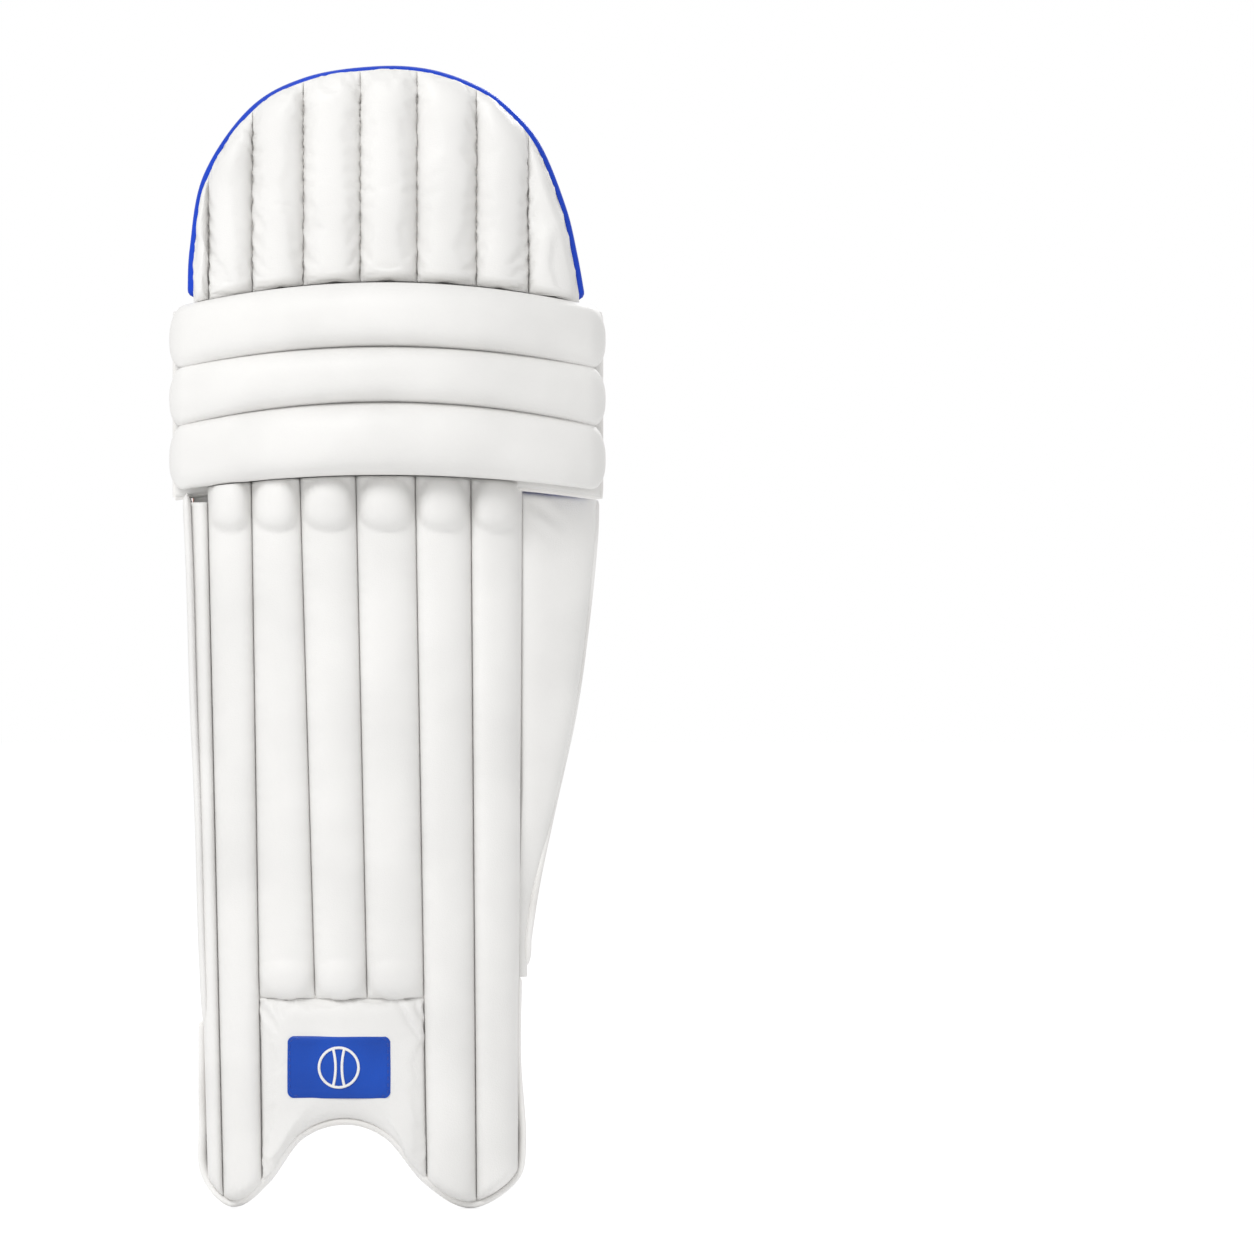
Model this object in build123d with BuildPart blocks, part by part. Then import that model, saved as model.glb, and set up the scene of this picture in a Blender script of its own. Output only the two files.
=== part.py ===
from build123d import *
import os
from math import atan2, cos, degrees, radians, sin, sqrt

os.makedirs("parts", exist_ok=True)

# Cricket batting leg pad, millimetres.
# +Z runs up the leg, the front of the pad faces -Y and the leg lies on the +Y side.
# +X is the side of the wing. The origin is the middle of the shin rest strip's back face.

# ---- overall levels up the leg ----
pad_top = 349.0
flap_foot = 223.0
roll_levels = [216.0, 177.5, 144.0, 100.6]
roll_droops = [14.0, 12.5, 14.5, 9.5]
shin_head = 92.5
shin_cushion_head = 84.5
shin_cushion_foot = -262.0
instep_head = -216.0
arch_top = -294.6
lobe_foot = -346.0
edge_drop = 12.0

# ---- overall widths ----
knee_middle = 14.5
knee_half_width = 133.5
shin_middle = -4.0
shin_left_head = -110.0
shin_left_foot = -98.8
shin_right = 96.5
flap_half_width = 121.0
wing_reach = 140.0

# ---- layers, measured forwards from the back face of the backing board ----
board = 2.0
gap = 0.3
shin_channel_depth = 22.0
flap_channel_depth = 20.0
instep_depth = 16.0
lining = 1.2
tongue_half_width = 30.0
tongue_gap = 0.4
roll_front = -58.0
cover = 1.5
edge_width = 4.5
seam_gap = 0.4

# ---- how the pad wraps round the leg ----
shin_wrap_radius = 220.0
shin_wrap_back = -12.0
knee_wrap_radius = 330.0
knee_wrap_back = -14.0
roll_wrap_radius = 187.0

# ---- cushions on the leg side ----
rest_strip_half = 29.5
cushion_inner_back = 18.0
cushion_outer_back = 26.0
shin_cushion_outer = 89.5
shin_cushion_inner = -83.5
knee_cushion_inner_back = 16.0
knee_cushion_outer_back = 33.0
knee_cushion_outer = 144.0
knee_cushion_inner = -110.5
knee_cushion_head = 203.0
knee_cushion_foot = 93.0
knee_rest_back = 1.0
cushion_round = 6.0

# ---- cane rods in the shin channels ----
rod_radius = 4.2
rod_clearance = 0.3
rod_head = 66.0
rod_short_foot = -190.0
rod_long_foot = -272.0

# ---- wing ----
wing_line_near_y = 12.0
wing_line_far_x = 143.0
wing_line_far_y = 41.0
wing_thickness = 12.0
wing_foot = -205.0
wing_head_near = 84.5
wing_head_far = 81.0

# ---- straps ----
webbing = 1.6
bar_radius = 2.0
loop_clearance = 0.3
ring_depth = 4.0
ring_end = 5.3
ring_slit = 3.7
hook_patch = 1.4
landing_tab = 1.5
stack_gap = 0.3

# Sum of sizes that follow from the ones above.
loop_inner = bar_radius + loop_clearance
loop_outer = loop_inner + webbing
bar_offset = ring_slit / 2 + loop_outer
shin_skin = -(gap + lining)
knee_skin = -gap
flange_foot = instep_head - 16.0
hinge_gap = 0.5
wing_near_x = shin_right + hinge_gap
REACH = 90.0


def wrap_circle(side, depth):
    """Circle of the wrap at a depth in front of the backing board's back face."""
    middle, back, radius = side
    with BuildSketch() as disc:
        with Locations((middle, back + radius)):
            Circle(radius + depth)
    return disc.sketch_local


shin_side = (shin_middle, shin_wrap_back, shin_wrap_radius)
knee_side = (knee_middle, knee_wrap_back, knee_wrap_radius)


def wrap_y(side, depth, x):
    """Y of the wrap at x, at a depth in front of the backing board's back face."""
    middle, back, radius = side
    return back + radius - sqrt((radius + depth) ** 2 - (x - middle) ** 2)


def band(side, back, front):
    """Section of a layer between two depths of a wrap."""
    with BuildSketch() as section:
        add(wrap_circle(side, front))
        add(wrap_circle(side, back), mode=Mode.SUBTRACT)
    return section.sketch_local


def polygon(points):
    """Face with straight sides, in the sketch's own axes."""
    with BuildSketch() as face:
        with BuildLine():
            Polyline(*points, close=True)
        make_face()
    return face.sketch_local


def inset(face, amount):
    """The same face with every side moved in by an amount."""
    with BuildSketch() as smaller:
        add(face)
        offset(amount=-amount)
    return smaller.sketch_local


def both_in(first, second):
    """Where two faces overlap."""
    with BuildSketch() as face:
        add(first)
        add(second, mode=Mode.INTERSECT)
    return face.sketch_local


def without(first, second):
    """The first face with the second cut away."""
    with BuildSketch() as face:
        add(first)
        add(second, mode=Mode.SUBTRACT)
    return face.sketch_local


def box_face(low_x, low_z, high_x, high_z):
    """Upright rectangle between two corners."""
    return polygon([(low_x, low_z), (high_x, low_z), (high_x, high_z), (low_x, high_z)])


def standing_piece(section, outline):
    """Solid with a plan section that stands through an outline seen from the front."""
    with BuildPart() as piece:
        with BuildSketch(Plane.XY.offset(lobe_foot - REACH)):
            add(section)
        extrude(amount=pad_top - lobe_foot + 2 * REACH)
        with BuildSketch(Plane.XZ):
            add(outline)
        extrude(amount=REACH, both=True, mode=Mode.INTERSECT)
    return piece


def save(piece, name):
    """Label a finished piece and write its file."""
    piece.part.label = name
    export_step(piece.part, "parts/" + name + ".step")


def stuffed(section, outline, shell):
    """A closed cover with its hollow, and the filling that fits it with a gap all round."""
    hollow = standing_piece(inset(section, shell), inset(outline, shell))
    whole = standing_piece(section, outline)
    with BuildPart() as skin:
        add(whole.part)
        add(hollow.part, mode=Mode.SUBTRACT)
    filling = standing_piece(inset(section, shell + gap), inset(outline, shell + gap))
    return skin, filling


def with_tongue(panel, foot, head):
    """A backing board with the thin tongue that joins it to the board below."""
    middle = knee_side[0]
    outline = box_face(middle - tongue_half_width, foot, middle + tongue_half_width, head)
    tongue = standing_piece(band(knee_side, 0, lining), outline)
    with BuildPart() as joined:
        add(panel.part)
        add(tongue.part)
    return joined


def gather(pieces):
    """Several separate solids kept in one node."""
    with BuildPart() as group:
        for piece in pieces:
            add(piece.part)
    return group


# ------------------------------------------------------------------ shin outline

lobe_side = -320.0
arch_side = -322.0
arch_left = -55.0
arch_right = 32.0
arch_middle = -11.0
left_lobe_middle = -79.0
right_lobe_middle = 64.7
shin_top_right = shin_head - 4.5

with BuildSketch() as shin_face:
    with BuildLine():
        ThreePointArc(
            (shin_left_head, shin_head - edge_drop + 1.5),
            (shin_middle, shin_head),
            (shin_right, shin_top_right),
        )
        Line((shin_right, shin_top_right), (shin_right, lobe_side))
        ThreePointArc((shin_right, lobe_side), (right_lobe_middle, lobe_foot), (arch_right, arch_side))
        ThreePointArc((arch_right, arch_side), (arch_middle, arch_top), (arch_left, arch_side))
        ThreePointArc((arch_left, arch_side), (left_lobe_middle, lobe_foot), (shin_left_foot, lobe_side))
        Line((shin_left_foot, lobe_side), (shin_left_foot, flange_foot))
        Line((shin_left_foot, flange_foot), (shin_left_head, shin_head - edge_drop + 1.5))
    make_face()
shin_outline = shin_face.sketch_local

shin_edge = without(shin_outline, inset(shin_outline, edge_width))
far = 2 * knee_half_width
edge_clearance = edge_width + gap
with BuildSketch() as inner_field:
    add(inset(shin_outline, edge_clearance))
    open_side = box_face(
        shin_right - 2 * edge_clearance, wing_foot, far, shin_top_right - edge_clearance)
    add(both_in(inset(shin_outline, gap), open_side))
shin_field = inner_field.sketch_local

# ------------------------------------------------------------------ shin board, lining, edges

save(standing_piece(band(shin_side, 0, board), shin_field), "shin_backing")
save(standing_piece(band(shin_side, shin_skin, -gap), shin_field), "shin_lining")

lobe_zone = box_face(-far, -2 * far, far, flange_foot - gap)
lobe_edge = both_in(shin_edge, lobe_zone)
save(standing_piece(band(shin_side, shin_skin, board + 8.0), lobe_edge), "lobe_binding")

flange_front = -12.0
flange_back = 22.0
flange_section = box_face(-far, flange_front, 0, flange_back)
flange_outline = polygon([
    (shin_left_head, shin_head - edge_drop),
    (shin_left_head + edge_width, shin_head - edge_drop),
    (shin_left_foot + edge_width, flange_foot),
    (shin_left_foot, flange_foot),
])
save(standing_piece(flange_section, flange_outline), "side_flange")

flange_lining_foot = -168.0
flange_slope = (shin_left_foot - shin_left_head) / (shin_head - edge_drop - flange_foot)


def flange_inside(z):
    """X of the flange's inner face at a height."""
    return shin_left_head + edge_width + (shin_head - edge_drop - z) * flange_slope


flange_lining_outline = polygon([
    (flange_inside(shin_cushion_head) + 2 * gap, shin_cushion_head - gap),
    (shin_cushion_inner - 1.3, shin_cushion_head - gap),
    (shin_cushion_inner - 1.3, flange_lining_foot),
    (flange_inside(flange_lining_foot) + 2 * gap, flange_lining_foot),
])
flange_lining_section = band(shin_side, shin_skin - gap - lining, shin_skin - gap)
save(standing_piece(flange_lining_section, flange_lining_outline), "side_flange_lining")

# ------------------------------------------------------------------ shin channels and canes

seam_head = 98.0
seam_foot = -300.0
seams_at_head = [shin_left_head, -95.2, -67.7, -37.8, -3.7, 32.3, 65.9, far]
seams_at_foot = [shin_left_foot, -86.0, -61.0, -26.0, 5.0, 39.0, 69.0, far]
seam_low = lobe_foot - 10.0


def seam_x(index, z):
    """X of a channel seam at a height."""
    share = (seam_head - z) / (seam_head - seam_foot)
    return seams_at_head[index] + share * (seams_at_foot[index] - seams_at_head[index])


def between_seams(left, right, foot):
    """Upright strip between two seams, down to a foot."""
    half = seam_gap / 2
    return polygon([
        (seam_x(left, seam_head) + half, seam_head),
        (seam_x(right, seam_head) - half, seam_head),
        (seam_x(right, foot) - half, foot),
        (seam_x(left, foot) + half, foot),
    ])


def cane(index, foot, radius, extra):
    """Round rod up the middle of a channel, longer by an extra at each end."""
    low_x = (seam_x(index, foot) + min(seam_x(index + 1, foot), shin_right)) / 2
    high_x = (seam_x(index, rod_head) + min(seam_x(index + 1, rod_head), shin_right)) / 2
    depth = board + gap + shin_channel_depth / 2
    low = Vector(low_x, wrap_y(shin_side, depth, low_x), foot)
    high = Vector(high_x, wrap_y(shin_side, depth, high_x), rod_head)
    along = high - low
    start = low - along.normalized() * extra
    with BuildPart() as rod:
        with BuildSketch(Plane(origin=start, z_dir=along)):
            Circle(radius)
        extrude(amount=along.length + 2 * extra)
    return rod


channel_section = band(shin_side, board + gap, board + gap + shin_channel_depth)
middle_channels = (2, 3, 4)
channel_count = 7
canes = []
for index in range(channel_count):
    foot = instep_head if index in middle_channels else seam_low
    rod_foot = rod_short_foot if index in middle_channels else rod_long_foot
    channel_outline = both_in(shin_field, between_seams(index, index + 1, foot))
    tube = standing_piece(channel_section, channel_outline)
    if index == 0:
        save(tube, "shin_channel_1")
        continue
    bore = cane(index, rod_foot, rod_radius + rod_clearance, rod_clearance)
    canes.append(cane(index, rod_foot, rod_radius, 0))
    with BuildPart() as channel:
        add(tube.part)
        add(bore.part, mode=Mode.SUBTRACT)
    save(channel, "shin_channel_" + str(index + 1))
save(gather(canes), "cane_rods")

# ------------------------------------------------------------------ instep panel and badge

instep_zone = polygon([
    (seam_x(2, instep_head) + seam_gap / 2, instep_head - seam_gap),
    (seam_x(5, instep_head) - seam_gap / 2, instep_head - seam_gap),
    (seam_x(5, seam_low) - seam_gap / 2, seam_low),
    (seam_x(2, seam_low) + seam_gap / 2, seam_low),
])
instep_section = band(shin_side, board + gap, board + gap + instep_depth)
save(standing_piece(instep_section, both_in(shin_field, instep_zone)), "instep_panel")

badge_width = 63.0
badge_height = 38.0
badge_middle = (-13.7, -259.0)
badge_corner = 5.0
with BuildSketch() as badge_face:
    with Locations(badge_middle):
        RectangleRounded(badge_width, badge_height, badge_corner)
badge_back = board + gap + instep_depth + gap
badge_section = band(shin_side, badge_back, badge_back + lining)
save(standing_piece(badge_section, badge_face.sketch_local), "front_badge")

# ------------------------------------------------------------------ shin rest strip and bolsters

strip_foot = -250.0
strip_side = both_in(
    box_face(-rest_strip_half, -REACH, rest_strip_half, 0),
    wrap_circle(shin_side, shin_skin - gap),
)
strip_outline = box_face(-rest_strip_half, strip_foot, rest_strip_half, shin_cushion_head)
save(standing_piece(strip_side, strip_outline), "shin_rest_strip")


def cushion_section(side, skin, near_x, far_x, near_y, far_y):
    """Plan of a bolster: curved face on the pad, sloping face to the leg, rounded corners."""
    with BuildSketch() as section:
        with BuildLine():
            Polyline((near_x, -REACH), (near_x, near_y), (far_x, far_y), (far_x, -REACH), close=True)
        make_face()
        corners = section.vertices().group_by(Axis.Y)
        fillet(corners[-1] + corners[-2], cushion_round)
        add(wrap_circle(side, skin), mode=Mode.INTERSECT)
    return section.sketch_local


cushion_gap = 0.7
cores = []
for name, near_x, far_x in (
    ("shin_bolster_outer", rest_strip_half + cushion_gap, shin_cushion_outer),
    ("shin_bolster_inner", -rest_strip_half - cushion_gap, shin_cushion_inner),
):
    section = cushion_section(
        shin_side, shin_skin - gap, near_x, far_x, cushion_inner_back, cushion_outer_back)
    low_x = min(near_x, far_x)
    high_x = max(near_x, far_x)
    outline = box_face(low_x, shin_cushion_foot, high_x, shin_cushion_head)
    skin, filling = stuffed(section, outline, cover)
    save(skin, name)
    cores.append(filling)
save(gather(cores), "shin_bolster_cores")

# ------------------------------------------------------------------ knee rolls

roll_end_left = knee_middle - knee_half_width
roll_end_right = knee_middle + knee_half_width
roll_shoulder = 8.0
roll_section = without(
    wrap_circle((knee_middle, roll_front, roll_wrap_radius), 0),
    wrap_circle(knee_side, board + gap),
)


def roll_outline(top, foot):
    """Front outline between two roll levels: drooping top and foot, and rounded ends."""
    left = roll_end_left + roll_shoulder
    right = roll_end_right - roll_shoulder
    high = roll_levels[top] - seam_gap / 2
    low = roll_levels[foot] + seam_gap / 2
    high_end = high - roll_droops[top]
    low_end = low - roll_droops[foot]
    middle_end = (high_end + low_end) / 2
    with BuildSketch() as face:
        with BuildLine():
            ThreePointArc((left, high_end), (knee_middle, high), (right, high_end))
            ThreePointArc((right, high_end), (roll_end_right, middle_end), (right, low_end))
            ThreePointArc((right, low_end), (knee_middle, low), (left, low_end))
            ThreePointArc((left, low_end), (roll_end_left, middle_end), (left, high_end))
        make_face()
    return face.sketch_local


knee_fillings = []
for level, name in enumerate(("top_knee_roll", "middle_knee_roll", "bottom_knee_roll")):
    skin, filling = stuffed(roll_section, roll_outline(level, level + 1), cover)
    save(skin, name)
    knee_fillings.append(filling)

board_inset = edge_width / 2
knee_outline = inset(roll_outline(0, len(roll_levels) - 1), board_inset)
knee_board = standing_piece(band(knee_side, 0, board), knee_outline)
knee_tongue_foot = shin_head - edge_clearance + tongue_gap
knee_board = with_tongue(knee_board, knee_tongue_foot, roll_levels[-1] + 2 * edge_width)
save(knee_board, "knee_backing")

# ------------------------------------------------------------------ knee bolsters and rest panel

knee_panel_head = (-11.0, 43.0)
knee_panel_waist = (-28.0, 63.0)
knee_panel_foot = (-8.0, 52.0)
knee_panel_waist_z = 152.0
half_cushion_gap = cushion_gap / 2


def knee_panel_side(place, sign):
    """Edge of the knee rest panel on one side, moved out by half the gap to the bolster."""
    return [
        (knee_panel_foot[place] + sign * half_cushion_gap, knee_cushion_foot),
        (knee_panel_waist[place] + sign * half_cushion_gap, knee_panel_waist_z),
        (knee_panel_head[place] + sign * half_cushion_gap, knee_cushion_head),
    ]


for name, place, sign, far_x in (
    ("knee_bolster_outer", 1, 1, knee_cushion_outer),
    ("knee_bolster_inner", 0, -1, knee_cushion_inner),
):
    near_x = knee_panel_head[1] if sign > 0 else knee_panel_foot[0]
    section = cushion_section(
        knee_side, knee_skin, near_x, far_x, knee_cushion_inner_back, knee_cushion_outer_back)
    edge = knee_panel_side(place, sign)
    outline = polygon(edge + [(far_x, knee_cushion_head - 4.0), (far_x, knee_cushion_foot)])
    skin, filling = stuffed(section, outline, cover)
    save(skin, name)
    knee_fillings.append(filling)
save(gather(knee_fillings), "knee_foam_cores")

panel_side = both_in(
    box_face(-far, -REACH, far, knee_rest_back),
    wrap_circle(knee_side, knee_skin),
)
panel_outline = polygon(knee_panel_side(0, 1) + knee_panel_side(1, -1)[::-1])
save(standing_piece(panel_side, panel_outline), "knee_rest_panel")

# ------------------------------------------------------------------ top flap

flap_left = knee_middle - flap_half_width
flap_right = knee_middle + flap_half_width
flap_foot_end = flap_foot - roll_droops[0]
left_shoulder = (-69.0, pad_top - 26.0)
right_shoulder = (71.0, pad_top - 12.0)
right_brow = (123.0, pad_top - 84.0)
with BuildSketch() as flap_face:
    with BuildLine():
        ThreePointArc((flap_left, flap_foot_end), (knee_middle, flap_foot), (flap_right, flap_foot_end))
        Line((flap_right, flap_foot_end), right_brow)
        ThreePointArc(right_brow, (108.0, pad_top - 46.0), right_shoulder)
        ThreePointArc(right_shoulder, (9.0, pad_top), left_shoulder)
        ThreePointArc(left_shoulder, (-98.0, pad_top - 74.0), (flap_left, flap_foot_end))
    make_face()
flap_outline = flap_face.sketch_local
flap_field = inset(flap_outline, edge_clearance)

binding_front = board + 6.0
binding_back = -4.0
with BuildSketch() as flap_rim:
    add(without(flap_outline, inset(flap_outline, edge_width)))
    with BuildLine():
        Polyline(
            (flap_left + edge_clearance, flap_foot_end - edge_width),
            (flap_right - edge_clearance, flap_foot_end - edge_width),
            (flap_right - edge_clearance, flap_foot + edge_width),
            (flap_left + edge_clearance, flap_foot + edge_width),
            close=True,
        )
    make_face(mode=Mode.SUBTRACT)
save(standing_piece(band(knee_side, binding_back, binding_front), flap_rim.sketch_local), "flap_binding")
flap_board = standing_piece(band(knee_side, 0, board), flap_field)
flap_tongue_foot = roll_levels[0] - board_inset - seam_gap / 2 + tongue_gap
save(with_tongue(flap_board, flap_tongue_foot, flap_foot + 2 * edge_width), "flap_backing")

back_panel_depth = 8.0
flap_back_outline = inset(flap_field, gap)
save(
    standing_piece(band(knee_side, -gap - back_panel_depth, -gap), flap_back_outline),
    "flap_back_panel",
)

flap_seams = [-far, -94.0, -67.0, -35.7, -1.0, 33.5, 69.5, 101.0, far]
flap_section = band(knee_side, board + gap, board + gap + flap_channel_depth)
for index in range(len(flap_seams) - 1):
    strip = box_face(
        flap_seams[index] + seam_gap / 2, 0, flap_seams[index + 1] - seam_gap / 2, 2 * far)
    channel = standing_piece(flap_section, both_in(flap_field, strip))
    save(channel, "flap_channel_" + str(index + 1))

# ------------------------------------------------------------------ side wing

wing_run = Vector(wing_line_far_x - wing_near_x, wing_line_far_y - wing_line_near_y)
wing_out = Vector(wing_run.Y, -wing_run.X).normalized()


def wing_layer(inner, outer):
    """Plan of a wing layer between two depths outwards from its lined face."""
    near = Vector(wing_near_x, wing_line_near_y)
    far_end = near + wing_run * 1.2
    sketch = polygon([
        tuple(near + wing_out * inner - wing_run)[:2],
        tuple(far_end + wing_out * inner)[:2],
        tuple(far_end + wing_out * outer)[:2],
        tuple(near + wing_out * outer - wing_run)[:2],
    ])
    return both_in(sketch, box_face(wing_near_x, -REACH, far, REACH))


with BuildSketch() as wing_face_sketch:
    with BuildLine():
        Line((wing_near_x, wing_foot), (wing_near_x, wing_head_near))
        Line((wing_near_x, wing_head_near), (wing_reach, wing_head_far))
        ThreePointArc((wing_reach, wing_head_far), (wing_reach - 14.0, -46.0), (wing_near_x, wing_foot))
    make_face()
wing_outline = wing_face_sketch.sketch_local
wing_inner_outline = inset(wing_outline, edge_width)
open_side_foot = wing_foot + 85.0
near_strip = box_face(
    wing_near_x, open_side_foot, wing_near_x + edge_clearance + gap, wing_head_near - edge_clearance)
with BuildSketch() as wing_field_sketch:
    add(inset(wing_outline, edge_clearance))
    add(near_strip)
wing_field = wing_field_sketch.sketch_local
with BuildSketch() as wing_rim_sketch:
    add(wing_outline)
    add(wing_inner_outline, mode=Mode.SUBTRACT)
    add(box_face(0, open_side_foot - gap, wing_near_x + edge_clearance, wing_head_near - edge_width),
        mode=Mode.SUBTRACT)
save(standing_piece(wing_layer(0, wing_thickness), wing_rim_sketch.sketch_local), "wing_binding")
save(standing_piece(wing_layer(0, lining), wing_field), "wing_lining")
foam_start = lining + gap
foam_end = wing_thickness - cover - gap
save(standing_piece(wing_layer(foam_start, foam_end), wing_field), "wing_foam")
save(standing_piece(wing_layer(wing_thickness - cover, wing_thickness), wing_field), "wing_face")

# ------------------------------------------------------------------ straps, rings and tabs


def lay_plane(height, tilt):
    """Plan plane of a strap: X along the strap, Y towards the calf, Z across the webbing."""
    angle = radians(tilt)
    return Plane(
        origin=(0, 0, height), x_dir=(cos(angle), 0, sin(angle)), z_dir=(-sin(angle), 0, cos(angle)))


def flat_on(plane, low, high, width):
    """Flat piece between two plan corners, as wide as the webbing."""
    with BuildPart() as piece:
        with BuildSketch(plane):
            with BuildLine():
                Polyline(low, (high[0], low[1]), high, (low[0], high[1]), close=True)
            make_face()
        extrude(amount=width / 2, both=True)
    return piece


def webbing_loop(plane, bar, tail, width, run_end):
    """Webbing folded round a bar and sewn to itself, with an optional long run."""
    with BuildPart() as loop:
        with BuildSketch(plane):
            with Locations(bar):
                round_end = Circle(loop_outer)
            with Locations(tail):
                flat_end = Rectangle(2 * webbing, webbing)
            make_hull(round_end.edges() + flat_end.edges())
            if run_end is not None:
                with BuildLine():
                    Polyline(
                        (tail[0], tail[1] - webbing / 2),
                        (run_end, tail[1] - webbing / 2),
                        (run_end, tail[1] + webbing / 2),
                        (tail[0], tail[1] + webbing / 2),
                        close=True,
                    )
                make_face()
            with Locations(bar):
                Circle(loop_inner, mode=Mode.SUBTRACT)
        extrude(amount=width / 2, both=True)
    return loop


def strap_ring(plane, middle, bar_y, wide, tall, width):
    """Moulded ring: two round bars joined by two flat ends."""
    end_inner = tall / 2 - ring_end
    with BuildPart() as ring:
        with BuildSketch(plane.offset(-tall / 2)):
            with Locations((middle - bar_offset, bar_y), (middle + bar_offset, bar_y)):
                Circle(bar_radius)
        extrude(amount=tall)
        for start in (-tall / 2, end_inner):
            with BuildSketch(plane.offset(start)):
                with Locations((middle, bar_y)):
                    RectangleRounded(wide, ring_depth, ring_depth / 2 - 0.2)
            extrude(amount=ring_end)
    return ring


strap_hold = 24.0
patch_length = 40.0
straps = {
    "top": {
        "height": 125.0, "tilt": 0.0, "width": 27.5, "ring": -88.5, "wide": 20.7, "tall": 38.5,
        "bar": 36.8, "end": 128.0, "anchor": (-105.0, 33.4),
    },
    "middle": {
        "height": 0.5, "tilt": 2.04, "width": 50.0, "ring": -69.2, "wide": 26.0, "tall": 64.0,
        "bar": 33.0, "end": 114.5, "anchor": (-96.5, 24.9),
    },
    "bottom": {
        "height": -204.9, "tilt": -4.57, "width": 50.0, "ring": -65.6, "wide": 24.0, "tall": 64.0,
        "bar": 33.0, "end": 89.0, "anchor": (-90.5, 24.9),
    },
}
for name, strap in straps.items():
    plane = lay_plane(strap["height"], strap["tilt"])
    inner_bar = (strap["ring"] - bar_offset, strap["bar"])
    outer_bar = (strap["ring"] + bar_offset, strap["bar"])
    run_y = strap["bar"] + loop_inner + webbing / 2
    width = strap["width"]
    save(strap_ring(plane, strap["ring"], strap["bar"], strap["wide"], strap["tall"], width), name + "_ring")
    tail = (outer_bar[0] + strap_hold, run_y)
    save(webbing_loop(plane, outer_bar, tail, width, strap["end"]), name + "_strap")
    patch_top = run_y - webbing / 2 - 0.05
    patch_low = (strap["end"] - 2.0 - patch_length, patch_top - hook_patch)
    patch = flat_on(plane, patch_low, (strap["end"] - 2.0, patch_top), width - 4.0)
    save(patch, name + "_hook_patch")
    anchor = webbing_loop(plane, inner_bar, strap["anchor"], width, None)
    save(anchor, name + "_anchor_webbing")

badge_low_x = -9.0
badge_high_x = 56.0
middle_plane = lay_plane(straps["middle"]["height"], straps["middle"]["tilt"])
badge_y = straps["middle"]["bar"] + loop_outer + 0.05
strap_badge = flat_on(
    middle_plane, (badge_low_x, badge_y), (badge_high_x, badge_y + lining), straps["middle"]["width"])
save(strap_badge, "middle_strap_badge")


def strap_height(name, x):
    """Height of a strap's middle line at x."""
    strap = straps[name]
    return strap["height"] + x * sin(radians(strap["tilt"]))


def tab_top(name):
    """Y of the face that a strap's hook patch presses on."""
    return straps[name]["bar"] + loop_inner - hook_patch - 0.05 - stack_gap


def plan_piece(points, height, width):
    """Piece with a straight-sided plan, level, as wide as its webbing."""
    with BuildPart() as piece:
        with BuildSketch(Plane.XY.offset(height - width / 2)):
            add(polygon(points))
        extrude(amount=width)
    return piece


# Top tab: sewn to the knee bolster's outer edge, and flat under the strap's end.
top_tab = tab_top("top")
tab_end = knee_cushion_outer + 2.5
seat_x = knee_cushion_outer - cushion_round
cushion_slope = (knee_cushion_outer_back - knee_cushion_inner_back) / (knee_cushion_outer - knee_panel_head[1])
seat_y = knee_cushion_outer_back - cushion_slope * cushion_round + gap
top_points = [
    (96.0, top_tab - landing_tab), (96.0, top_tab), (tab_end, top_tab),
    (tab_end, top_tab - landing_tab), (seat_x, seat_y), (seat_x - 6.0, seat_y - 6.0 * cushion_slope),
    (seat_x - 10.0, top_tab - landing_tab),
]
save(plan_piece(top_points, straps["top"]["height"], straps["top"]["width"]), "top_landing_tab")

# Middle tab: sewn to the wing's lined face near its edge.
middle_tab = tab_top("middle")
wing_seat = 0.6


def wing_lined_y(x):
    """Y of the wing's lined face at x."""
    return wing_line_near_y + (x - wing_near_x) * wing_run.Y / wing_run.X


middle_points = [
    (93.0, middle_tab - landing_tab), (93.0, middle_tab), (128.0, middle_tab),
    (128.0, wing_lined_y(128.0) + wing_seat), (117.0, wing_lined_y(117.0) + wing_seat),
    (114.0, middle_tab - landing_tab),
]
save(
    plan_piece(middle_points, strap_height("middle", 115.0), straps["middle"]["width"]),
    "middle_landing_tab",
)

# Bottom tab: sewn to the shin's outer edge behind the last channel.
bottom_tab = tab_top("bottom")
bottom_edge = shin_cushion_outer + cushion_gap
bottom_seat = wrap_y(shin_side, shin_skin, bottom_edge + landing_tab) + gap
bottom_points = [
    (46.0, bottom_tab - landing_tab), (46.0, bottom_tab), (bottom_edge + landing_tab, bottom_tab),
    (bottom_edge + landing_tab, bottom_seat), (bottom_edge, bottom_seat),
    (bottom_edge, bottom_tab - landing_tab),
]
save(
    plan_piece(bottom_points, strap_height("bottom", 70.0), straps["bottom"]["width"]),
    "bottom_landing_tab",
)

# Anchor tabs: laid over the side flange's back edge, under the anchor webbing's end.
for name in ("middle", "bottom"):
    strap = straps[name]
    end_x = strap["anchor"][0]
    height = strap_height(name, end_x)
    inner_x = end_x + 2.5
    outer_x = flange_inside(height) - edge_width + 1.0
    tab_low = flange_back + gap
    points = [
        (outer_x, tab_low), (inner_x, tab_low), (inner_x, tab_low + landing_tab),
        (outer_x, tab_low + landing_tab),
    ]
    save(plan_piece(points, height, strap["width"] + 2.0), name + "_anchor_tab")
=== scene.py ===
import math
from functools import partial

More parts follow.
